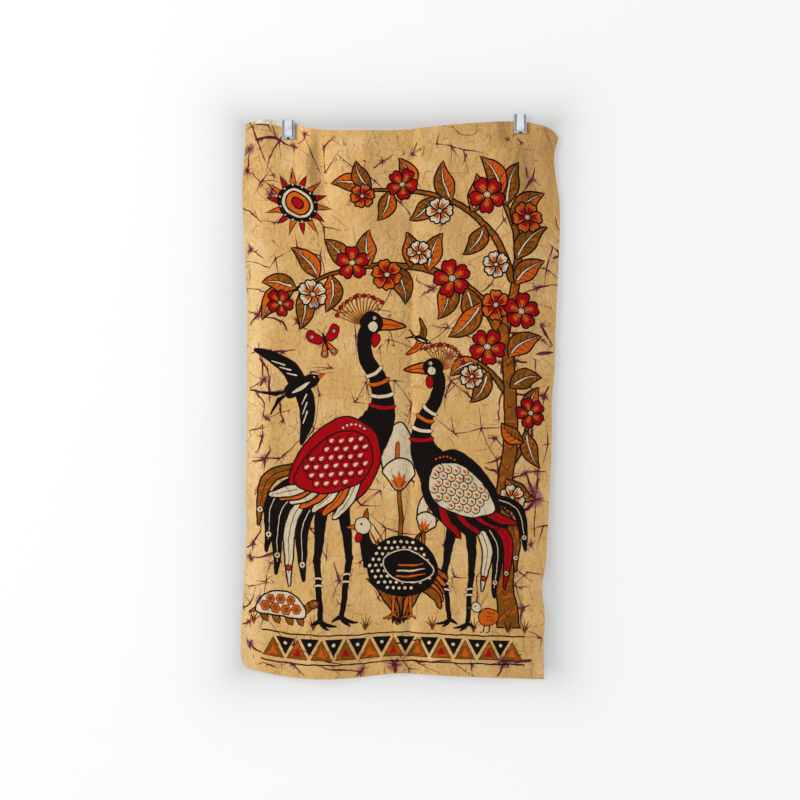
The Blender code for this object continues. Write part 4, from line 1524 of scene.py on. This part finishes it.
@dataclass
class ClothNet:
    """Flat net of triangles whose sides follow each change of dye."""

    patches: list
    points: np.ndarray = field(default_factory=lambda: np.empty((0, 2)))
    triangles: np.ndarray = field(default_factory=lambda: np.empty((0, 3), int))
    dyes: np.ndarray = field(default_factory=lambda: np.empty(0, int))

    def build(self) -> None:
        """Builds the net twice: once to find the dyes' edges, and then on those edges alone."""
        border = border_points()
        rings = [border] + [np.clip(patch.ring, 0, (CANVAS_W, CANVAS_H)) for patch in self.patches]
        starts = np.cumsum([0] + [len(ring) for ring in rings[:-1]])
        edges = np.vstack([ring_edges(len(ring), start) for ring, start in zip(rings, starts)])
        points, triangles = triangulate(np.vstack(rings), edges)
        dyes = dye_at(points[triangles].mean(axis=1), self.patches)
        points, edges = self.edges_between_dyes(points, triangles, dyes)
        points = np.vstack([points, self.lattice(points)])
        self.points, self.triangles = triangulate(points, edges)
        self.dyes = dye_at(self.points[self.triangles].mean(axis=1), self.patches)

    def edges_between_dyes(
        self, points: np.ndarray, triangles: np.ndarray, dyes: np.ndarray
    ) -> tuple[np.ndarray, np.ndarray]:
        """Keeps the sides that part two dyes or lie on the cloth's border, welded where they are close."""
        sides, row = sides_of(triangles)
        row = row.reshape(-1)
        low = np.full(len(sides), 99)
        high = np.full(len(sides), -1)
        of_side = np.tile(dyes, 3)
        np.minimum.at(low, row, of_side)
        np.maximum.at(high, row, of_side)
        lone = np.bincount(row, minlength=len(sides)) == 1
        kept = sides[(low != high) | lone]
        snapped = np.round(points / WELD_MM) * WELD_MM
        welded, index = np.unique(snapped, axis=0, return_inverse=True)
        kept = np.sort(index.reshape(-1)[kept], axis=1)
        kept = np.unique(kept[kept[:, 0] != kept[:, 1]], axis=0)
        used, kept_index = np.unique(kept, return_inverse=True)
        return welded[used], kept_index.reshape(-1, 2)

    def lattice(self, points: np.ndarray) -> np.ndarray:
        """Even points that fill the open areas, clear of the points given."""
        tree = kdtree.KDTree(len(points))
        for index, (x, y) in enumerate(points.tolist()):
            tree.insert((x, y, 0.0), index)
        tree.balance()
        spots = []
        rows = int(CANVAS_H / (LATTICE_MM * 0.866))
        for row in range(1, rows):
            y = row * CANVAS_H / rows
            for column in range(1, int(CANVAS_W / LATTICE_MM) + 1):
                x = (column - 0.5 * (row % 2)) * LATTICE_MM
                if x < CANVAS_W - CLEAR_MM and tree.find((x, y, 0.0))[2] > CLEAR_MM:
                    spots.append((x, y))
        return np.array(spots)
# Finishes


def colour(code: str) -> tuple[float, float, float, float]:
    """Turns an sRGB hex code into linear red, green, blue and alpha."""
    parts = [int(code[k : k + 2], 16) / 255 for k in (1, 3, 5)]
    linear = [v / 12.92 if v <= 0.04045 else ((v + 0.055) / 1.055) ** 2.4 for v in parts]
    return (*linear, 1.0)


def add_node(tree: bpy.types.NodeTree, kind: str, inputs: dict | None = None, **settings) -> bpy.types.Node:
    """Adds a node.

    Args:
        tree: the tree that it joins.
        kind: the node's type name.
        inputs: a value or another node's output for each named or numbered input.
        **settings: the node's own properties.

    Returns:
        The node.
    """
    node = tree.nodes.new(kind)
    for name, value in settings.items():
        setattr(node, name, value)
    for name, value in (inputs or {}).items():
        if isinstance(value, bpy.types.NodeSocket):
            tree.links.new(value, node.inputs[name])
        else:
            node.inputs[name].default_value = value
    return node


def blend(tree: bpy.types.NodeTree, share, first, second) -> bpy.types.NodeSocket:
    """Blends two colours by a share."""
    node = add_node(tree, "ShaderNodeMix", {0: share, 6: first, 7: second}, data_type="RGBA")
    return node.outputs[2]


def blank_material(name: str) -> tuple[bpy.types.Material, bpy.types.NodeTree, bpy.types.Node]:
    """Makes a material with only a Principled shader and its output."""
    material = bpy.data.materials.new(name)
    material.use_nodes = True
    tree = material.node_tree
    return material, tree, tree.nodes["Principled BSDF"]


@dataclass(frozen=True)
class DyeFinish:
    """How one dye looks on the cotton.

    Attributes:
        name: the material's name.
        main: the dye where it took evenly.
        pale: where it took weakly, and the colour of the painted highlight.
        deep: where it pooled, and the colour of the painted shade.
        hairlines: share of fine cracks that shows in it.
        streak: a second colour brushed over it, or none.
        roughness: the surface's roughness.
        uneven: how far it runs to pale and deep.
        painted_light_and_shade: how far a painted highlight pales it along the left side and a painted shade
            deepens it in the upper right corner.
    """

    name: str
    main: str
    pale: str
    deep: str
    hairlines: float = 0.0
    streak: str = ""
    roughness: float = 0.86
    uneven: float = 0.6
    painted_light_and_shade: float = 0.0


# Waxed and dyed cotton. The waxed ground stays pale and takes a web of fine cracks; the
# reds and oranges are even and slightly blotched; brown is brushed over with orange;
# black is dense and a little brown; cream is the cloth under wax, barely tinted.
DYE_FINISHES = {
    Dye.OCHRE: DyeFinish(
        "cotton waxed ochre ground", "#DAAC69", "#F0D29C", "#AE7C42", 0.60, "", 0.86, 0.8, 0.5
    ),
    Dye.CRACKLE: DyeFinish("cotton crackle maroon", "#601A2E", "#864250", "#421422", 0.0, "", 0.86, 0.8),
    Dye.LINE: DyeFinish("cotton outline black", "#180D0B", "#341C14", "#0C0706", 0.0),
    Dye.BLACK: DyeFinish("cotton dyed black", "#110C0A", "#1E1512", "#090606", 0.0),
    Dye.RED: DyeFinish("cotton dyed red", "#A8000C", "#BC0A18", "#880008", 0.12),
    Dye.ORANGE: DyeFinish("cotton dyed orange", "#CE5A10", "#DC7226", "#AA4009", 0.25),
    Dye.BROWN: DyeFinish("cotton brushed brown", "#7E4A10", "#93601C", "#5E3208", 0.1, "#BE580E"),
    Dye.CREAM: DyeFinish("cotton waxed cream", "#DAC6A4", "#E6D8BC", "#BFA582", 0.5),
    Dye.BARE: DyeFinish("cotton undyed selvedge", "#E7DFD0", "#F0EBE0", "#CFC6B4", 0.0),
}

CRACK_COLOUR = "#8A4A40"
STAIN_COLOUR = "#7C3550"
WRONG_SIDE_COLOUR = "#DCC9A4"
WRONG_SIDE_SHARE = 0.22
# Share of fine cracks above which a dye is stained too
STAINED_ABOVE = 0.3

# Where a painted highlight turns the ground pale, then where a painted shade turns it deep: from and to
# across the cloth, then from and to up it, in millimetres
PAINTED_LIGHT_AND_SHADE = ((48, 6, -70, -230), (395, 480, -230, -50))


@dataclass(frozen=True)
class CottonShader:
    """Plain-woven cotton under one dye. Threads are 0.4 mm apart, drawn as 1.7 mm slubs to show."""

    finish: DyeFinish
    slub_mm: float = 1.7
    slub_length_mm: float = 17.0
    blotch_mm: float = 55.0
    grain_mm: float = 4.5
    crack_cell_mm: float = 33.0
    streak_mm: float = 5.5
    crumple_mm: float = 9.0

    def make(self) -> bpy.types.Material:
        """Builds the material."""
        material, tree, shader = blank_material(self.finish.name)
        flat = add_node(tree, "ShaderNodeUVMap", uv_map="cloth").outputs["UV"]
        base = self.dyed(tree, flat)
        weave = self.weave(tree, flat)
        # Painted shade: the dye is darkened where the weave is low and lightened where it is high.
        woven_light = {
            "Value": weave, "From Min": 0.7, "From Max": 1.3, "To Min": 0.87, "To Max": 1.11
        }
        painted_shade = add_node(tree, "ShaderNodeMapRange", woven_light).outputs[0]
        woven = add_node(tree, "ShaderNodeVectorMath", {0: base, "Scale": painted_shade}, operation="SCALE")
        side = add_node(tree, "ShaderNodeAttribute", attribute_name="wrong_side")
        paled = {0: side.outputs["Fac"], 1: WRONG_SIDE_SHARE}
        pale = add_node(tree, "ShaderNodeMath", paled, operation="MULTIPLY")
        seen = blend(tree, pale.outputs[0], woven.outputs[0], colour(WRONG_SIDE_COLOUR))
        tree.links.new(seen, shader.inputs["Base Color"])
        rough = add_node(tree, "ShaderNodeMapRange", {"Value": weave})
        rough.inputs["To Min"].default_value = self.finish.roughness - 0.06
        rough.inputs["To Max"].default_value = self.finish.roughness + 0.06
        tree.links.new(rough.outputs[0], shader.inputs["Roughness"])
        crumple = self.noise(tree, flat, self.crumple_mm, 4.0, 0.6)
        crushed = add_node(tree, "ShaderNodeBump", {"Height": crumple, "Strength": 1.0, "Distance": 0.0028})
        surface = {"Height": weave, "Strength": 0.45, "Distance": 0.0004, "Normal": crushed.outputs[0]}
        bump = add_node(tree, "ShaderNodeBump", surface)
        tree.links.new(bump.outputs[0], shader.inputs["Normal"])
        shader.inputs["Sheen Weight"].default_value = 0.04
        shader.inputs["Sheen Roughness"].default_value = 0.5
        shader.inputs["Specular IOR Level"].default_value = 0.14
        return material

    def noise(
        self, tree: bpy.types.NodeTree, flat, size_mm: float, detail: float = 3.0, rough: float = 0.55
    ) -> bpy.types.NodeSocket:
        """Soft noise whose blots are about a given size."""
        inputs = {"Vector": flat, "Scale": 1.0 / (size_mm * MM), "Detail": detail, "Roughness": rough}
        return add_node(tree, "ShaderNodeTexNoise", inputs).outputs["Fac"]

    def band(
        self, tree: bpy.types.NodeTree, value, low: float, high: float, top: float = 1.0
    ) -> bpy.types.NodeSocket:
        """Turns a stretch of a value's range into 0 to top, smoothly."""
        inputs = {"Value": value, "From Min": low, "From Max": high, "To Max": top}
        return add_node(tree, "ShaderNodeMapRange", inputs, interpolation_type="SMOOTHSTEP").outputs[0]

    def times(self, tree: bpy.types.NodeTree, first, second) -> bpy.types.NodeSocket:
        """Product of two shares."""
        return add_node(tree, "ShaderNodeMath", {0: first, 1: second}, operation="MULTIPLY").outputs[0]

    def dyed(self, tree: bpy.types.NodeTree, flat) -> bpy.types.NodeSocket:
        """Colour of the dye: blotches, pooled grain, painted highlight and shade, brushed streaks and fine
        cracks.
        """
        finish = self.finish
        blotch = self.noise(tree, flat, self.blotch_mm)
        weak = self.band(tree, blotch, 0.42, 0.72, 0.5 * finish.uneven)
        mid = blend(tree, weak, colour(finish.main), colour(finish.pale))
        grain = self.noise(tree, flat, self.grain_mm, 5.0, 0.7)
        mid = blend(tree, self.band(tree, grain, 0.50, 0.80, finish.uneven), mid, colour(finish.deep))
        speck = self.band(tree, self.noise(tree, flat, 1.9, 1.0), 0.70, 0.76, 0.45 * finish.uneven)
        mid = blend(tree, speck, mid, colour(finish.deep))
        # Painted highlight along the left side and painted shade in the upper right corner.
        if finish.painted_light_and_shade:
            place = add_node(tree, "ShaderNodeSeparateXYZ", {0: flat})
            for (near, far, start, end), tone in zip(PAINTED_LIGHT_AND_SHADE, (finish.pale, finish.deep)):
                beside = self.band(tree, place.outputs["X"], near * MM, far * MM, finish.painted_light_and_shade)
                along = self.band(tree, place.outputs["Y"], start * MM, end * MM)
                mid = blend(tree, self.times(tree, beside, along), mid, colour(tone))
        if finish.streak:
            mid = blend(tree, self.brushed(tree, flat), mid, colour(finish.streak))
        if finish.hairlines:
            mid = blend(tree, self.cracks(tree, flat), mid, colour(CRACK_COLOUR))
        if finish.hairlines > STAINED_ABOVE:
            mid = blend(tree, self.stained(tree, flat), mid, colour(STAIN_COLOUR))
        return mid

    def stained(self, tree: bpy.types.NodeTree, flat) -> bpy.types.NodeSocket:
        """Share of dye that crept under the wax, soft round the worst breaks."""
        reach = add_node(tree, "ShaderNodeAttribute", attribute_name="stain").outputs["Fac"]
        cloud = self.noise(tree, flat, 3.8, 4.0, 0.65)
        return self.band(tree, self.times(tree, reach, cloud), 0.20, 0.44, 0.7)

    def brushed(self, tree: bpy.types.NodeTree, flat) -> bpy.types.NodeSocket:
        """Share of long brush streaks, slanted across the cloth."""
        swaying = {"Vector": flat, "Scale": 22.0, "Detail": 1.0}
        sway = add_node(tree, "ShaderNodeTexNoise", swaying).outputs["Color"]
        lean = {0: sway, 1: (0.05, 0.05, 0.0), 2: flat}
        bent = add_node(tree, "ShaderNodeVectorMath", lean, operation="MULTIPLY_ADD").outputs[0]
        turned = add_node(tree, "ShaderNodeMapping", {"Vector": bent, "Rotation": (0.0, 0.0, 0.9)})
        long = add_node(tree, "ShaderNodeMapping", {"Vector": turned.outputs[0], "Scale": (1.0, 0.2, 1.0)})
        streaks = self.noise(tree, long.outputs[0], self.streak_mm, 3.0, 0.55)
        return self.band(tree, streaks, 0.50, 0.60, 0.85)

    def cracks(self, tree: bpy.types.NodeTree, flat) -> bpy.types.NodeSocket:
        """Share of hair-fine cracks in the wax, in some areas only."""
        cell = {"Vector": flat, "Scale": 1.0 / (self.crack_cell_mm * MM)}
        edge = add_node(tree, "ShaderNodeTexVoronoi", cell, feature="DISTANCE_TO_EDGE").outputs["Distance"]
        line = self.band(tree, edge, 0.020, 0.008)
        where = self.band(tree, self.noise(tree, flat, 24.0, 3.0), 0.47, 0.56, self.finish.hairlines)
        return self.times(tree, line, where)

    def weave(self, tree: bpy.types.NodeTree, flat) -> bpy.types.NodeSocket:
        """Height of the weave: slubs along warp and weft."""
        ways = []
        drawn_out = self.slub_mm / self.slub_length_mm
        for scale in ((1.0, drawn_out, 1.0), (drawn_out, 1.0, 1.0)):
            drawn = add_node(tree, "ShaderNodeMapping", {"Vector": flat, "Scale": scale})
            ways.append(self.noise(tree, drawn.outputs[0], self.slub_mm, 2.0, 0.6))
        return add_node(tree, "ShaderNodeMath", {0: ways[0], 1: ways[1], 2: 0.0}, operation="ADD").outputs[0]
# The dressed cloth

FRONT_MAP_MARGIN = 0.002
FRONT_MAP_SCALE = 0.996 / CANVAS_H
BACK_MAP_LEFT = 0.582
BACK_MAP_WIDTH = 0.414
RIM_MAP_WIDTH = 0.0015


@dataclass
class BatikCloth:
    """The dyed sheet: a closed thin mesh with one material for each dye."""

    sheet: HungSheet = field(default_factory=HungSheet)

    def build(self) -> bpy.types.Object:
        """Returns:
            The cloth's object.
        """
        picture, stains = draw_picture()
        net = ClothNet(picture.patches)
        net.build()
        log.info("net: %d points, %d triangles", len(net.points), len(net.triangles))
        cloth = self.mesh_object(net)
        self.set_stains(cloth.data, net, stains)
        for dye in Dye:
            cloth.data.materials.append(CottonShader(DYE_FINISHES[dye]).make())
        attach(cloth, "root")
        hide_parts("cloth")
        return cloth

    def mesh_object(self, net: ClothNet) -> bpy.types.Object:
        """Turns the flat net into the hung sheet, with its two faces and its rim."""
        count = len(net.points)
        middle = self.sheet.place(net.points)
        facing = self.sheet.normals(net.points)
        half = facing * self.sheet.thick / 2
        places = np.vstack([middle + half, middle - half]) * MM
        front = net.triangles[:, ::-1]
        back = net.triangles + count
        rim = self.rim(front, count)
        mesh = bpy.data.meshes.new("batik_cloth")
        mesh.from_pydata(places.tolist(), [], front.tolist() + back.tolist() + rim.tolist())
        mesh.shade_smooth()
        corners = np.concatenate([front.reshape(-1), back.reshape(-1), rim.reshape(-1)])
        self.set_dyes(mesh, net, front, rim)
        self.set_maps(mesh, net, corners, rim)
        normals = np.vstack([facing, -facing])[corners]
        mesh.normals_split_custom_set(normals.tolist())
        cloth = bpy.data.objects.new("batik_cloth", mesh)
        bpy.context.scene.collection.objects.link(cloth)
        return cloth

    def rim(self, front: np.ndarray, count: int) -> np.ndarray:
        """Four-sided faces that close the sheet along its cut edges."""
        runs = np.vstack([front[:, (0, 1)], front[:, (1, 2)], front[:, (2, 0)]])
        sides, row = sides_of(front)
        lone = np.bincount(row.reshape(-1), minlength=len(sides)) == 1
        runs = runs[lone[row.reshape(-1)]]
        start, end = runs[:, 0], runs[:, 1]
        return np.column_stack([end, start, start + count, end + count])

    def set_dyes(self, mesh: bpy.types.Mesh, net: ClothNet, front: np.ndarray, rim: np.ndarray) -> None:
        """Gives each face its dye's material, and marks the faces of the wrong side."""
        dye_of_point = np.zeros(len(net.points), int)
        dye_of_point[front.reshape(-1)] = np.repeat(net.dyes, 3)
        dyes = np.concatenate([net.dyes, net.dyes, dye_of_point[rim[:, 0]]])
        mesh.polygons.foreach_set("material_index", dyes.astype(np.int32))
        wrong = mesh.attributes.new("wrong_side", "FLOAT", "FACE")
        shares = np.concatenate([np.zeros(len(front)), np.ones(len(front)), np.full(len(rim), 0.5)])
        wrong.data.foreach_set("value", shares.astype(np.float32))

    def set_stains(self, mesh: bpy.types.Mesh, net: ClothNet, stains: list) -> None:
        """Marks how strongly each point of the cloth lies in a stained area.

        Args:
            mesh: the cloth's mesh, which holds the net's points twice.
            net: the flat net.
            stains: rows of x, y and radius.
        """
        share = np.zeros(len(net.points))
        for x, y, radius in stains:
            away = np.hypot(net.points[:, 0] - x, net.points[:, 1] - y)
            share = np.maximum(share, ease(1.25 - away / radius))
        stain = mesh.attributes.new("stain", "FLOAT", "POINT")
        stain.data.foreach_set("value", np.concatenate([share, share]).astype(np.float32))

    def set_maps(self, mesh: bpy.types.Mesh, net: ClothNet, corners: np.ndarray, rim: np.ndarray) -> None:
        """Lays the flat cloth out as the patterns' map, in metres, and as the map for a bake."""
        flat = np.vstack([net.points, net.points])[corners]
        pattern = mesh.uv_layers.new(name="cloth")
        pattern.data.foreach_set("uv", (flat * (MM, -MM)).astype(np.float32).reshape(-1))
        pattern.active_render = True
        front_u = FRONT_MAP_MARGIN + net.points[:, 0] * FRONT_MAP_SCALE
        back_u = BACK_MAP_LEFT + (1 - net.points[:, 0] / CANVAS_W) * BACK_MAP_WIDTH
        v = 1 - FRONT_MAP_MARGIN - net.points[:, 1] * FRONT_MAP_SCALE
        baked = np.vstack([np.column_stack([front_u, v]), np.column_stack([back_u, v])])[corners]
        rim_start = len(corners) - rim.size
        near = net.points[rim % len(net.points)].reshape(-1, 2)
        out = np.sign(near - (CANVAS_W / 2, CANVAS_H / 2)) * (1, -1)
        on_edge = np.column_stack(
            [np.isin(near[:, 0], (0.0, CANVAS_W)), np.isin(near[:, 1], (0.0, CANVAS_H))]
        )
        rim_map = np.column_stack([front_u, v])[(rim % len(net.points)).reshape(-1)]
        is_back = (rim.reshape(-1) >= len(net.points))[:, None]
        baked[rim_start:] = rim_map + out * on_edge * is_back * RIM_MAP_WIDTH
        bake = mesh.uv_layers.new(name="OFBake")
        bake.data.foreach_set("uv", baked.astype(np.float32).reshape(-1))


# Clips


@dataclass(frozen=True)
class MetalFinish:
    """Bright zinc plating on stamped steel: bluish, faintly grained along the stamping, with painted shade
    darkening its grooves.
    """

    name: str = "zinc plated spring steel"
    main: str = "#E6E9F2"
    dull: str = "#C6CEDC"
    groove_painted_shade: str = "#232B3A"
    roughness: float = 0.30
    grain_mm: float = 0.35
    shade_reach_mm: float = 2.6

    def make(self) -> bpy.types.Material:
        """Builds the material."""
        material, tree, shader = blank_material(self.name)
        place = add_node(tree, "ShaderNodeTexCoord").outputs["Object"]
        drawn = add_node(tree, "ShaderNodeMapping", {"Vector": place, "Scale": (1.0, 1.0, 0.06)})
        stamping = {"Vector": drawn.outputs[0], "Scale": 1 / (self.grain_mm * MM), "Detail": 3.0}
        grain = add_node(tree, "ShaderNodeTexNoise", stamping)
        bloom = add_node(tree, "ShaderNodeTexNoise", {"Vector": place, "Scale": 120.0, "Detail": 3.0})
        clouded = {"Value": bloom.outputs["Fac"], "From Min": 0.42, "From Max": 0.7}
        share = add_node(tree, "ShaderNodeMapRange", clouded)
        tint = blend(tree, share.outputs[0], colour(self.main), colour(self.dull))
        # Painted shade: where ambient occlusion finds surfaces close by, in the grooves, the colour turns
        # dark.
        near = {"Distance": self.shade_reach_mm * MM}
        open_to = add_node(tree, "ShaderNodeAmbientOcclusion", near, samples=8).outputs["AO"]
        unshaded = add_node(tree, "ShaderNodeMapRange", {"Value": open_to, "From Min": 0.45, "From Max": 0.85})
        seen = blend(tree, unshaded.outputs[0], colour(self.groove_painted_shade), tint)
        tree.links.new(seen, shader.inputs["Base Color"])
        rough = add_node(tree, "ShaderNodeMapRange", {"Value": grain.outputs["Fac"]})
        rough.inputs["To Min"].default_value = self.roughness - 0.05
        rough.inputs["To Max"].default_value = self.roughness + 0.08
        tree.links.new(rough.outputs[0], shader.inputs["Roughness"])
        relief = {"Height": grain.outputs["Fac"], "Strength": 0.2, "Distance": 0.00005}
        bump = add_node(tree, "ShaderNodeBump", relief)
        tree.links.new(bump.outputs[0], shader.inputs["Normal"])
        shader.inputs["Metallic"].default_value = 1.0
        return material


@dataclass(frozen=True)
class RubberFinish:
    """Moulded black rubber pad: matt, faintly dusty."""

    name: str = "moulded black rubber"
    main: str = "#1B2024"
    dusty: str = "#343A40"

    def make(self) -> bpy.types.Material:
        """Builds the material."""
        material, tree, shader = blank_material(self.name)
        place = add_node(tree, "ShaderNodeTexCoord").outputs["Object"]
        dust = add_node(tree, "ShaderNodeTexNoise", {"Vector": place, "Scale": 900.0, "Detail": 4.0})
        settled = {"Value": dust.outputs["Fac"], "From Min": 0.5, "From Max": 0.75}
        share = add_node(tree, "ShaderNodeMapRange", settled)
        tint = blend(tree, share.outputs[0], colour(self.main), colour(self.dusty))
        tree.links.new(tint, shader.inputs["Base Color"])
        relief = {"Height": dust.outputs["Fac"], "Strength": 0.3, "Distance": 0.0001}
        bump = add_node(tree, "ShaderNodeBump", relief)
        tree.links.new(bump.outputs[0], shader.inputs["Normal"])
        shader.inputs["Roughness"].default_value = 0.7
        return material


@dataclass(frozen=True)
class SpringClips:
    """The two clips, which keep their solids and get their finishes."""

    def dress(self) -> None:
        """Gives each clip piece its material."""
        steel = MetalFinish().make()
        rubber = RubberFinish().make()
        for name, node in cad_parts.items():
            if name == "cloth":
                continue
            node.data.materials.clear()
            node.data.materials.append(rubber if name.endswith("grip") else steel)


# Studio


@dataclass(frozen=True)
class Studio:
    """Plain white wall, pale floor, soft light from the upper left and the photograph's camera."""

    wall_behind: float = 0.0008
    floor_z: float = -1.30
    lens_mm: float = 72.0
    camera_place: tuple = (0.1814, -2.6, -0.4389)
    wall_glow: float = 0.74
    # Painted shadow on the wall round the hanging: its depth, then its box's middle, half size and fade, in
    # metres
    wall_shade: float = 0.335
    shade_middle: tuple = (0.177, 0.0, -0.431)
    shade_half_size: tuple = (0.252, 9.0, 0.440)
    shade_fade: float = 0.038

    def build(self) -> None:
        """Builds the stage, lights and camera."""
        scene = bpy.context.scene
        scene.view_settings.view_transform = "Standard"
        self.camera(scene)
        self.backdrop()
        self.lights(scene)

    def camera(self, scene: bpy.types.Scene) -> None:
        """Level camera, square to the wall, as the photograph was taken."""
        data = bpy.data.cameras.new("camera")
        data.lens = self.lens_mm
        data.sensor_width = 36.0
        data.clip_start = 0.05
        camera = bpy.data.objects.new("camera", data)
        camera.location = self.camera_place
        camera.rotation_euler = (math.pi / 2, 0.0, 0.0)
        scene.collection.objects.link(camera)
        scene.camera = camera

    def backdrop(self) -> None:
        """White wall that shows from its front only, and a pale floor."""
        half = 4.0
        top, foot = 3.0, self.floor_z
        wall = [(-half, 0, foot), (half, 0, foot), (half, 0, top), (-half, 0, top)]
        wall = [(x, self.wall_behind, z) for x, _, z in wall]
        floor = [
            (-half, self.wall_behind, foot),
            (-half, -half, foot),
            (half, -half, foot),
            (half, self.wall_behind, foot),
        ]
        for name, corners, shown_behind in (("wall", wall, False), ("floor", floor, True)):
            mesh = bpy.data.meshes.new(name)
            mesh.from_pydata(corners, [], [(0, 1, 2, 3)])
            plane = bpy.data.objects.new(name, mesh)
            bpy.context.scene.collection.objects.link(plane)
            mesh.materials.append(self.paint(name, shown_behind))
            if not shown_behind:
                plane.visible_diffuse = False
                plane.visible_glossy = False
                plane.visible_shadow = False

    def paint(self, name: str, shown_behind: bool) -> bpy.types.Material:
        """Matt white paint, which for the wall shows from its front only and glows, with a painted shadow
        round the hanging.
        """
        material, tree, shader = blank_material(f"{name} paint")
        shader.inputs["Base Color"].default_value = colour("#F4F4F2")
        shader.inputs["Roughness"].default_value = 0.95
        if shown_behind:
            return material
        shader.inputs["Base Color"].default_value = colour("#868685")
        shader.inputs["Emission Color"].default_value = colour("#FFFFFF")
        tree.links.new(self.glow(tree), shader.inputs["Emission Strength"])
        side = add_node(tree, "ShaderNodeNewGeometry").outputs["Backfacing"]
        clear = add_node(tree, "ShaderNodeBsdfTransparent").outputs[0]
        either = add_node(tree, "ShaderNodeMixShader", {0: side, 1: shader.outputs[0], 2: clear})
        tree.links.new(either.outputs[0], tree.nodes["Material Output"].inputs["Surface"])
        return material

    def glow(self, tree: bpy.types.NodeTree) -> bpy.types.NodeSocket:
        """Even glow of the bright wall, with a painted shadow that darkens it round the hanging's box."""
        place = add_node(tree, "ShaderNodeTexCoord").outputs["Object"]
        middle = {0: place, 1: self.shade_middle}
        centred = add_node(tree, "ShaderNodeVectorMath", middle, operation="SUBTRACT").outputs[0]
        size = add_node(tree, "ShaderNodeVectorMath", {0: centred}, operation="ABSOLUTE").outputs[0]
        hanging = {0: size, 1: self.shade_half_size}
        past = add_node(tree, "ShaderNodeVectorMath", hanging, operation="SUBTRACT")
        outside = {0: past.outputs[0], 1: (0.0, 0.0, 0.0)}
        out = add_node(tree, "ShaderNodeVectorMath", outside, operation="MAXIMUM").outputs[0]
        away = add_node(tree, "ShaderNodeVectorMath", {0: out}, operation="LENGTH").outputs["Value"]
        fading = {0: away, 1: -1 / self.shade_fade}
        scaled = add_node(tree, "ShaderNodeMath", fading, operation="MULTIPLY").outputs[0]
        painted_shade = add_node(tree, "ShaderNodeMath", {0: scaled}, operation="EXPONENT").outputs[0]
        drop = {0: painted_shade, 1: -self.wall_shade, 2: self.wall_glow}
        return add_node(tree, "ShaderNodeMath", drop, operation="MULTIPLY_ADD").outputs[0]

    def lights(self, scene: bpy.types.Scene) -> None:
        """Soft key from the upper left, weaker ones right and behind, and a card for the clips alone."""
        world = bpy.data.worlds.new("surroundings")
        scene.world = world
        world.use_nodes = True
        world.node_tree.nodes["Background"].inputs["Color"].default_value = (1.0, 1.0, 1.0, 1.0)
        world.node_tree.nodes["Background"].inputs["Strength"].default_value = 0.35
        self.area("key", (-2.3, -1.5, 0.75), (0.18, 0.0, -0.4), (1.0, 1.0), 75.0)
        self.area("fill", (2.4, -2.6, -0.2), (0.18, 0.0, -0.45), (1.8, 1.8), 7.0)
        self.area("rear", (1.5, 2.4, 0.5), (0.18, 0.0, -0.45), (1.8, 1.8), 32.0)
        card = self.area("card", (0.2, -2.62, 0.50), (0.2, 0.0, 0.0), (1.6, 0.7), 4.3)
        card.visible_glossy = True
        card.visible_diffuse = False

    def area(self, name: str, place: tuple, aim: tuple, size: tuple, power: float) -> bpy.types.Object:
        """One soft light that points at a place and, unless told to, isn't mirrored in the clips."""
        data = bpy.data.lights.new(name, "AREA")
        data.shape = "RECTANGLE"
        data.size, data.size_y = size
        data.energy = power
        light = bpy.data.objects.new(name, data)
        light.location = place
        light.rotation_euler = (Vector(aim) - Vector(place)).to_track_quat("-Z", "Y").to_euler()
        light.visible_glossy = False
        bpy.context.scene.collection.objects.link(light)
        return light


def write_sizes() -> None:
    """Updates the scene's view layer."""
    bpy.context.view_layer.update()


def main() -> None:
    """Builds the dressed part and its studio in order."""
    logging.basicConfig(level=logging.INFO, format="%(message)s")
    Studio().build()
    cloth = BatikCloth().build()
    log.info("cloth: %d faces", len(cloth.data.polygons))
    SpringClips().dress()
    log.info("clips dressed")
    write_sizes()


if __name__ == "__main__":
    main()
